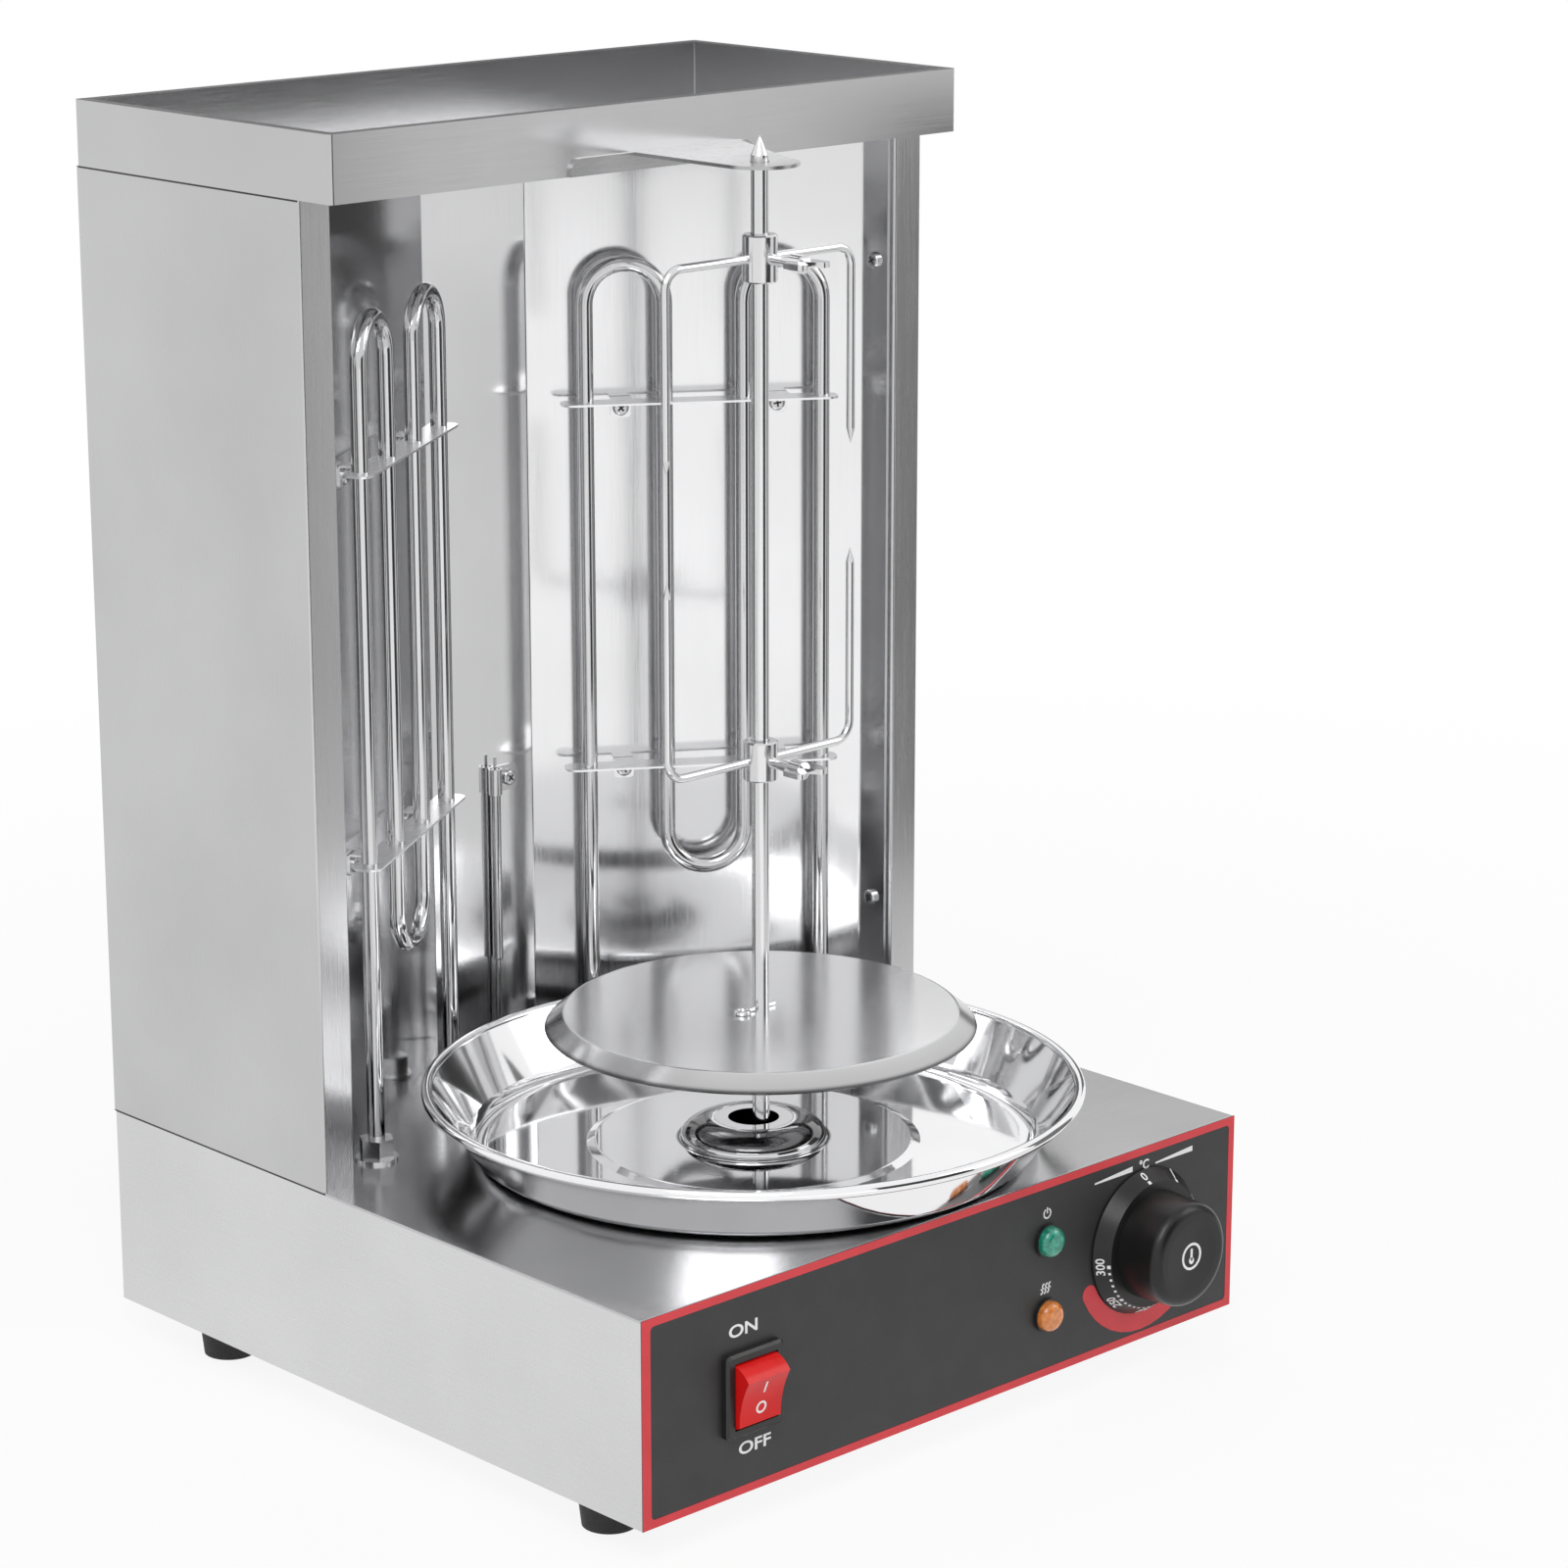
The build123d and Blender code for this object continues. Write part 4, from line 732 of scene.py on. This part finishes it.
CAP_DISH = 0.8 * MM  # depth of the knob's dished face
KNOB_INLAY = 4 * INK
FACE_RING = 6.6 * MM
FACE_LINE = 1.2 * MM
STEM_TOP = 3.9 * MM
STEM_ROUND = 0.49  # corner radius as a share of the stem's width, just under a half
DROP_LOW = 2.2 * MM
DROP_R = 1.6 * MM
cap_low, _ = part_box("knob_cap")
cap_face = facing((dial.x, cap_low.y + CAP_DISH - KNOB_INLAY / 2, dial.z), (1, 0, 0), (0, -1, 0))
face_ring = [circle((0, 0), FACE_RING), circle((0, 0), FACE_RING - FACE_LINE)]
stem = rounded_box((-FACE_LINE / 2, -DROP_LOW), (FACE_LINE / 2, STEM_TOP), FACE_LINE * STEM_ROUND)
drop = circle((0, -DROP_LOW), DROP_R)
mark("knob_ring", face_ring, cap_face, *KNOB_WHITE, KNOB_INLAY)
mark("knob_stem", [stem], cap_face, *KNOB_WHITE, KNOB_INLAY)
mark("knob_drop", [drop], cap_face, *KNOB_WHITE, KNOB_INLAY)


# Line and ring moulded in the rocker's face

ROCKER_WHITE = (white_ink, "rocker", "red_plastic")
ROCKER_INLAY = 2 * INK
ROCKER_REACH = 50.0 * MM  # clear of the rocker, in front of it
ROCKER_LINE = 1.0 * MM
LINE_RISE = 3.6 * MM
LINE_H = 6.0 * MM
RING_DROP = 6.6 * MM
RING_R = 3.0 * MM


def on_rocker(rise):
    """Place on the rocker's face, at a height from the middle of the switch."""
    ahead = Vector((switch.x, panel_low.y - ROCKER_REACH, switch.z + rise))
    _, point, out, _ = nodes["switch_rocker"].ray_cast(ahead, (0, 1, 0))
    return facing(point + out * INK / 2, (1, 0, 0), out)


on_line = bar(-ROCKER_LINE / 2, -LINE_H / 2, ROCKER_LINE / 2, LINE_H / 2)
off_ring = [circle((0, 0), RING_R), circle((0, 0), RING_R - ROCKER_LINE)]
mark("rocker_line", [on_line], on_rocker(LINE_RISE), *ROCKER_WHITE, ROCKER_INLAY)
mark("rocker_ring", off_ring, on_rocker(-RING_DROP), *ROCKER_WHITE, ROCKER_INLAY)


# Painted shade for the cross recesses in the screw heads

RECESS_ARM = 2.0 * MM
RECESS_W = 0.9 * MM
RECESS_TURN = 37.0  # from one screw to the next
QUARTERS = (0, 90, 180, 270)
SAME_DIGITS = 6  # points that agree to this many decimals of a metre are one
SLANT = radians(33.0)  # of the reflector's side panels


def solids(node):
    """Points of each separate solid of a node."""
    mesh = nodes[node].data
    keys = [tuple(round(c, SAME_DIGITS) for c in vertex.co) for vertex in mesh.vertices]
    owner = {key: key for key in keys}

    def root(key):
        while owner[key] != key:
            key = owner[key]
        return key

    for polygon in mesh.polygons:
        first, *others = (keys[i] for i in polygon.vertices)
        for other in others:
            owner[root(other)] = root(first)
    groups = {}
    for key in owner:
        groups.setdefault(root(key), []).append(Vector(key))
    return list(groups.values())


def recess(turn):
    """Outline of a cross, turned by an angle."""
    arm = [(RECESS_ARM, -RECESS_W / 2), (RECESS_ARM, RECESS_W / 2), (RECESS_W / 2, RECESS_W / 2)]
    turns = [Matrix.Rotation(radians(turn + quarter), 2) for quarter in QUARTERS]
    return [spin @ Vector(point) for spin in turns for point in arm]


def recesses(node, out_at):
    """Dark crosses of painted shade on a node's screws, for their recesses; out_at gives a head's direction
    from the middle of its screw.
    """
    outlines = []
    for index, points in enumerate(solids(node)):
        out = Vector(out_at(sum(points, Vector()) / len(points))).normalized()
        top = max(point.dot(out) for point in points)
        rim = [point for point in points if top - point.dot(out) < INK / 2]
        centre = sum(rim, Vector()) / len(rim)
        place = facing(centre + out * INK / 2, out.orthogonal(), out)
        outlines.append([place @ Vector((*point, 0)) for point in recess(index * RECESS_TURN)])
    flats(f"{node}_recess", outlines, painted_shade_dark, "housing", "screw_steel")


recesses("strap_screws", lambda at: (-sin(SLANT) if at.x > 0 else sin(SLANT), -cos(SLANT), 0))
recesses("reflector_screws", lambda at: (-at.x, 0, 0))
recesses("sensor_screw", lambda at: (0, -1, 0))
recesses("cover_screws", lambda at: (0, 0, -1))
recesses("foot_screws", lambda at: (0, 0, -1))


# Dark strips of painted shade in the grooves where the tower stands on the base and the tray sits on the
# tower

SEAM = 0.8 * MM
SEAM_IN = 0.02 * MM  # how far the lower joint lies in; the upper one lies as far out
deck_low, deck_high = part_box("base_deck")
side_low, side_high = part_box("tower_left_side")
_, back_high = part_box("tower_back")


def seam_levels(face):
    """Distance out and height of the lower and the upper joint on a face of the tower."""
    return ((face - SEAM_IN, deck_high.z - SEAM), (face + SEAM_IN, side_high.z - SEAM))


# Each strip is painted shade, standing in for the shadow in the groove of a joint
groove_shade_strips = []
for side in (1, -1):
    for x, low in seam_levels(deck_high.x):
        strip = bar(side_low.y, low, side_high.y, low + SEAM)
        groove_shade_strips.append([(side * x, y, z) for y, z in strip])
for y, low in seam_levels(back_high.y):
    strip = bar(deck_low.x, low, deck_high.x, low + SEAM)
    groove_shade_strips.append([(x, y, z) for x, z in strip])
flats("tower_groove_shade", groove_shade_strips, painted_shade_dark, "housing", "steel")


# Rounded boss of the pan, over its straight cone

TURNS = 96  # straight pieces in a full turn
DOME_TOP_R = 18.8 * MM
DOME_FOOT_R = 34.6 * MM
DOME_H = 9.55 * MM
DOME_STEPS = 14
DOME_SUNK = 0.4 * MM  # into the pan's sheet
DOME_BACK = 0.7 * MM
PAN_FLOOR = 2.5 * MM  # top of the floor about the boss, over the deck


def turned(name, curve, back, centre, material, body):
    """Ring about an upright axis: a smooth curve of (radius, height), closed by points behind it."""
    profile = [*curve, *back]
    count = len(profile)
    points = []
    faces = []
    for turn in range(TURNS):
        angle = radians(360 * turn / TURNS)
        points += [(centre.x + r * cos(angle), centre.y + r * sin(angle), z) for r, z in profile]
        this = turn * count
        after = (turn + 1) % TURNS * count
        for i in range(count):
            j = (i + 1) % count
            faces.append([this + i, this + j, after + j, after + i])
    mesh = bpy.data.meshes.new(name)
    mesh.from_pydata(points, [], faces)
    for polygon in mesh.polygons:
        polygon.use_smooth = polygon.index % count < len(curve) - 1
    return dressed(name, mesh, material, body)


pan_low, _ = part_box("drip_pan")
dome_foot = pan_low.z + PAN_FLOOR
dome_top = dome_foot + DOME_H
angles = [radians(90 - 90 * step / DOME_STEPS) for step in range(DOME_STEPS + 1)]
dome = [(DOME_TOP_R + (DOME_FOOT_R - DOME_TOP_R) * cos(a), dome_foot + DOME_H * sin(a)) for a in angles]
dome_back = [(DOME_FOOT_R - DOME_BACK, dome_foot - DOME_SUNK), (DOME_TOP_R + DOME_BACK, dome_top - DOME_SUNK)]
turned("pan_boss", dome, dome_back, middle("drip_pan"), pan_steel, "pan")


# Camera at the photograph's viewing angle

CAMERA_PLACE = (-1.3751, -1.5078, 0.8274)
CAMERA_TILT = 74.92
CAMERA_TURN = -43.71
CAMERA_LENS = 103.86  # millimetres, as the sensor's width
SENSOR = 36.0
camera = bpy.data.cameras.new("camera")
camera.lens = CAMERA_LENS
camera.sensor_width = SENSOR
camera_object = show(bpy.data.objects.new("camera", camera))
camera_object.location = CAMERA_PLACE
camera_object.rotation_euler = (radians(CAMERA_TILT), 0, radians(CAMERA_TURN))
bpy.context.scene.camera = camera_object


# Floor and surroundings

FLOOR_SIZE = 60.0
FLOOR_DARK = (0.88, 0.88, 0.88)
FLOOR_LIGHT = (0.90, 0.90, 0.90)
FLOOR_CLOUDS = 3
FLOOR_ROUGHNESS = 0.7
NEAR_GLOW = 0.87  # share of plain white where the shadow lies
SHADOW_REACH = (0.5, 1.4)  # distances over which the share goes up to full
WORLD_LIGHT = 0.6  # strength of the surroundings as a light
WORLD_SEEN = 1.0  # their strength where they are seen


def sheet(name, width, height, material):
    """Flat rectangle about its own middle, for the stage."""
    mesh = bpy.data.meshes.new(name)
    corners = [(x * width / 2, y * height / 2, 0) for x, y in bar(-1, -1, 1, 1)]
    mesh.from_pydata(corners, [], [(0, 1, 2, 3)])
    mesh.materials.append(material)
    return show(bpy.data.objects.new(name, mesh))


def any_ray(tree, *kinds):
    """1 for the kinds of ray that are named, 0 for the others."""
    path = tree.nodes.new("ShaderNodeLightPath")
    found, *others = (path.outputs[kind] for kind in kinds)
    for other in others:
        found = worked(tree, "MAXIMUM", found, other)
    return found


def pale_floor():
    """Wide pale floor, white to the camera, with the object's shadow left on it."""
    material, tree, shader = start_material("floor_paint")
    tone = blend(tree, spread(tree, noise(tree, FLOOR_CLOUDS), 0, 1), FLOOR_DARK, FLOOR_LIGHT)
    tree.links.new(tone, shader.inputs["Base Color"])
    shader.inputs["Roughness"].default_value = FLOOR_ROUGHNESS
    seen = any_ray(tree, "Is Camera Ray", "Is Glossy Ray")
    away = vector_step(tree, "LENGTH", own_place(tree)).outputs["Value"]
    share = worked(tree, "MULTIPLY", seen, spread(tree, away, NEAR_GLOW, 1, *SHADOW_REACH))
    glow = tree.nodes.new("ShaderNodeEmission")
    mix = tree.nodes.new("ShaderNodeMixShader")
    tree.links.new(share, mix.inputs["Fac"])
    tree.links.new(shader.outputs["BSDF"], mix.inputs[1])
    tree.links.new(glow.outputs["Emission"], mix.inputs[2])
    tree.links.new(mix.outputs["Shader"], tree.nodes["Material Output"].inputs["Surface"])
    floor = sheet("floor", FLOOR_SIZE, FLOOR_SIZE, material)


def white_world():
    """White surroundings to the camera and in reflections, softer as a light."""
    world = bpy.data.worlds.new("studio")
    world.use_nodes = True
    tree = world.node_tree
    background = tree.nodes["Background"]
    background.inputs["Color"].default_value = (1, 1, 1, 1)
    seen = any_ray(tree, "Is Camera Ray", "Is Glossy Ray", "Is Transmission Ray")
    strength = spread(tree, seen, WORLD_LIGHT, WORLD_SEEN, 0, 1)
    tree.links.new(strength, background.inputs["Strength"])
    bpy.context.scene.world = world


pale_floor()
white_world()


# Lamps, and cards for the steel to reflect


def aim(obj, place, target):
    """Set an object at a place, looking at a point."""
    obj.location = place
    obj.rotation_euler = (Vector(target) - Vector(place)).to_track_quat("-Z", "Y").to_euler()


def softbox(name, place, target, size, watts):
    """Rectangular soft light that looks at a point."""
    light = bpy.data.lights.new(name, "AREA")
    light.shape = "RECTANGLE"
    light.size, light.size_y = size
    light.energy = watts
    aim(show(bpy.data.objects.new(name, light)), place, target)


def flag(name, place, target, size, tone):
    """Evenly glowing card, dark or bright, that looks at a point and shows only in reflections."""
    material, tree, shader = start_material(name)
    card = tree.nodes.new("ShaderNodeEmission")
    card.inputs["Color"].default_value = (tone, tone, tone, 1)
    tree.links.new(card.outputs["Emission"], tree.nodes["Material Output"].inputs["Surface"])
    tree.nodes.remove(shader)
    board = sheet(name, *size, material)
    aim(board, place, target)
    board.visible_camera = False
    board.visible_diffuse = False
    board.visible_shadow = False


flag("front_flag", place=(0.22, -1.0, 0.3), target=(0.15, 0, 0.3), size=(0.62, 0.66), tone=0.05)
flag("floor_flag", place=(1.2, -1.4, 0.004), target=(1.2, -1.4, 1), size=(2.2, 2.2), tone=0.82)
flag("far_flag", place=(2.1, -2.8, 0.25), target=(0, 0, 0.25), size=(3.0, 0.6), tone=0.90)
flag("floor_light", place=(-0.8, -1.9, 0.004), target=(-0.8, -1.9, 1), size=(1.5, 2.6), tone=1.25)
flag("back_flag", place=(3.9, 4.5, 1.05), target=(0, 0, 0.6), size=(6.0, 1.8), tone=0.15)
flag("right_flag", place=(0.70, -0.32, 0.26), target=(0, 0.05, 0.26), size=(0.36, 0.5), tone=0.18)
softbox("key", place=(-1.6, -1.2, 2.4), target=(0, 0, 0.3), size=(1.6, 1.6), watts=34)
softbox("fill", place=(1.9, -1.6, 1.6), target=(0, 0, 0.3), size=(1.4, 1.4), watts=14)

bpy.context.scene.view_settings.view_transform = "Standard"
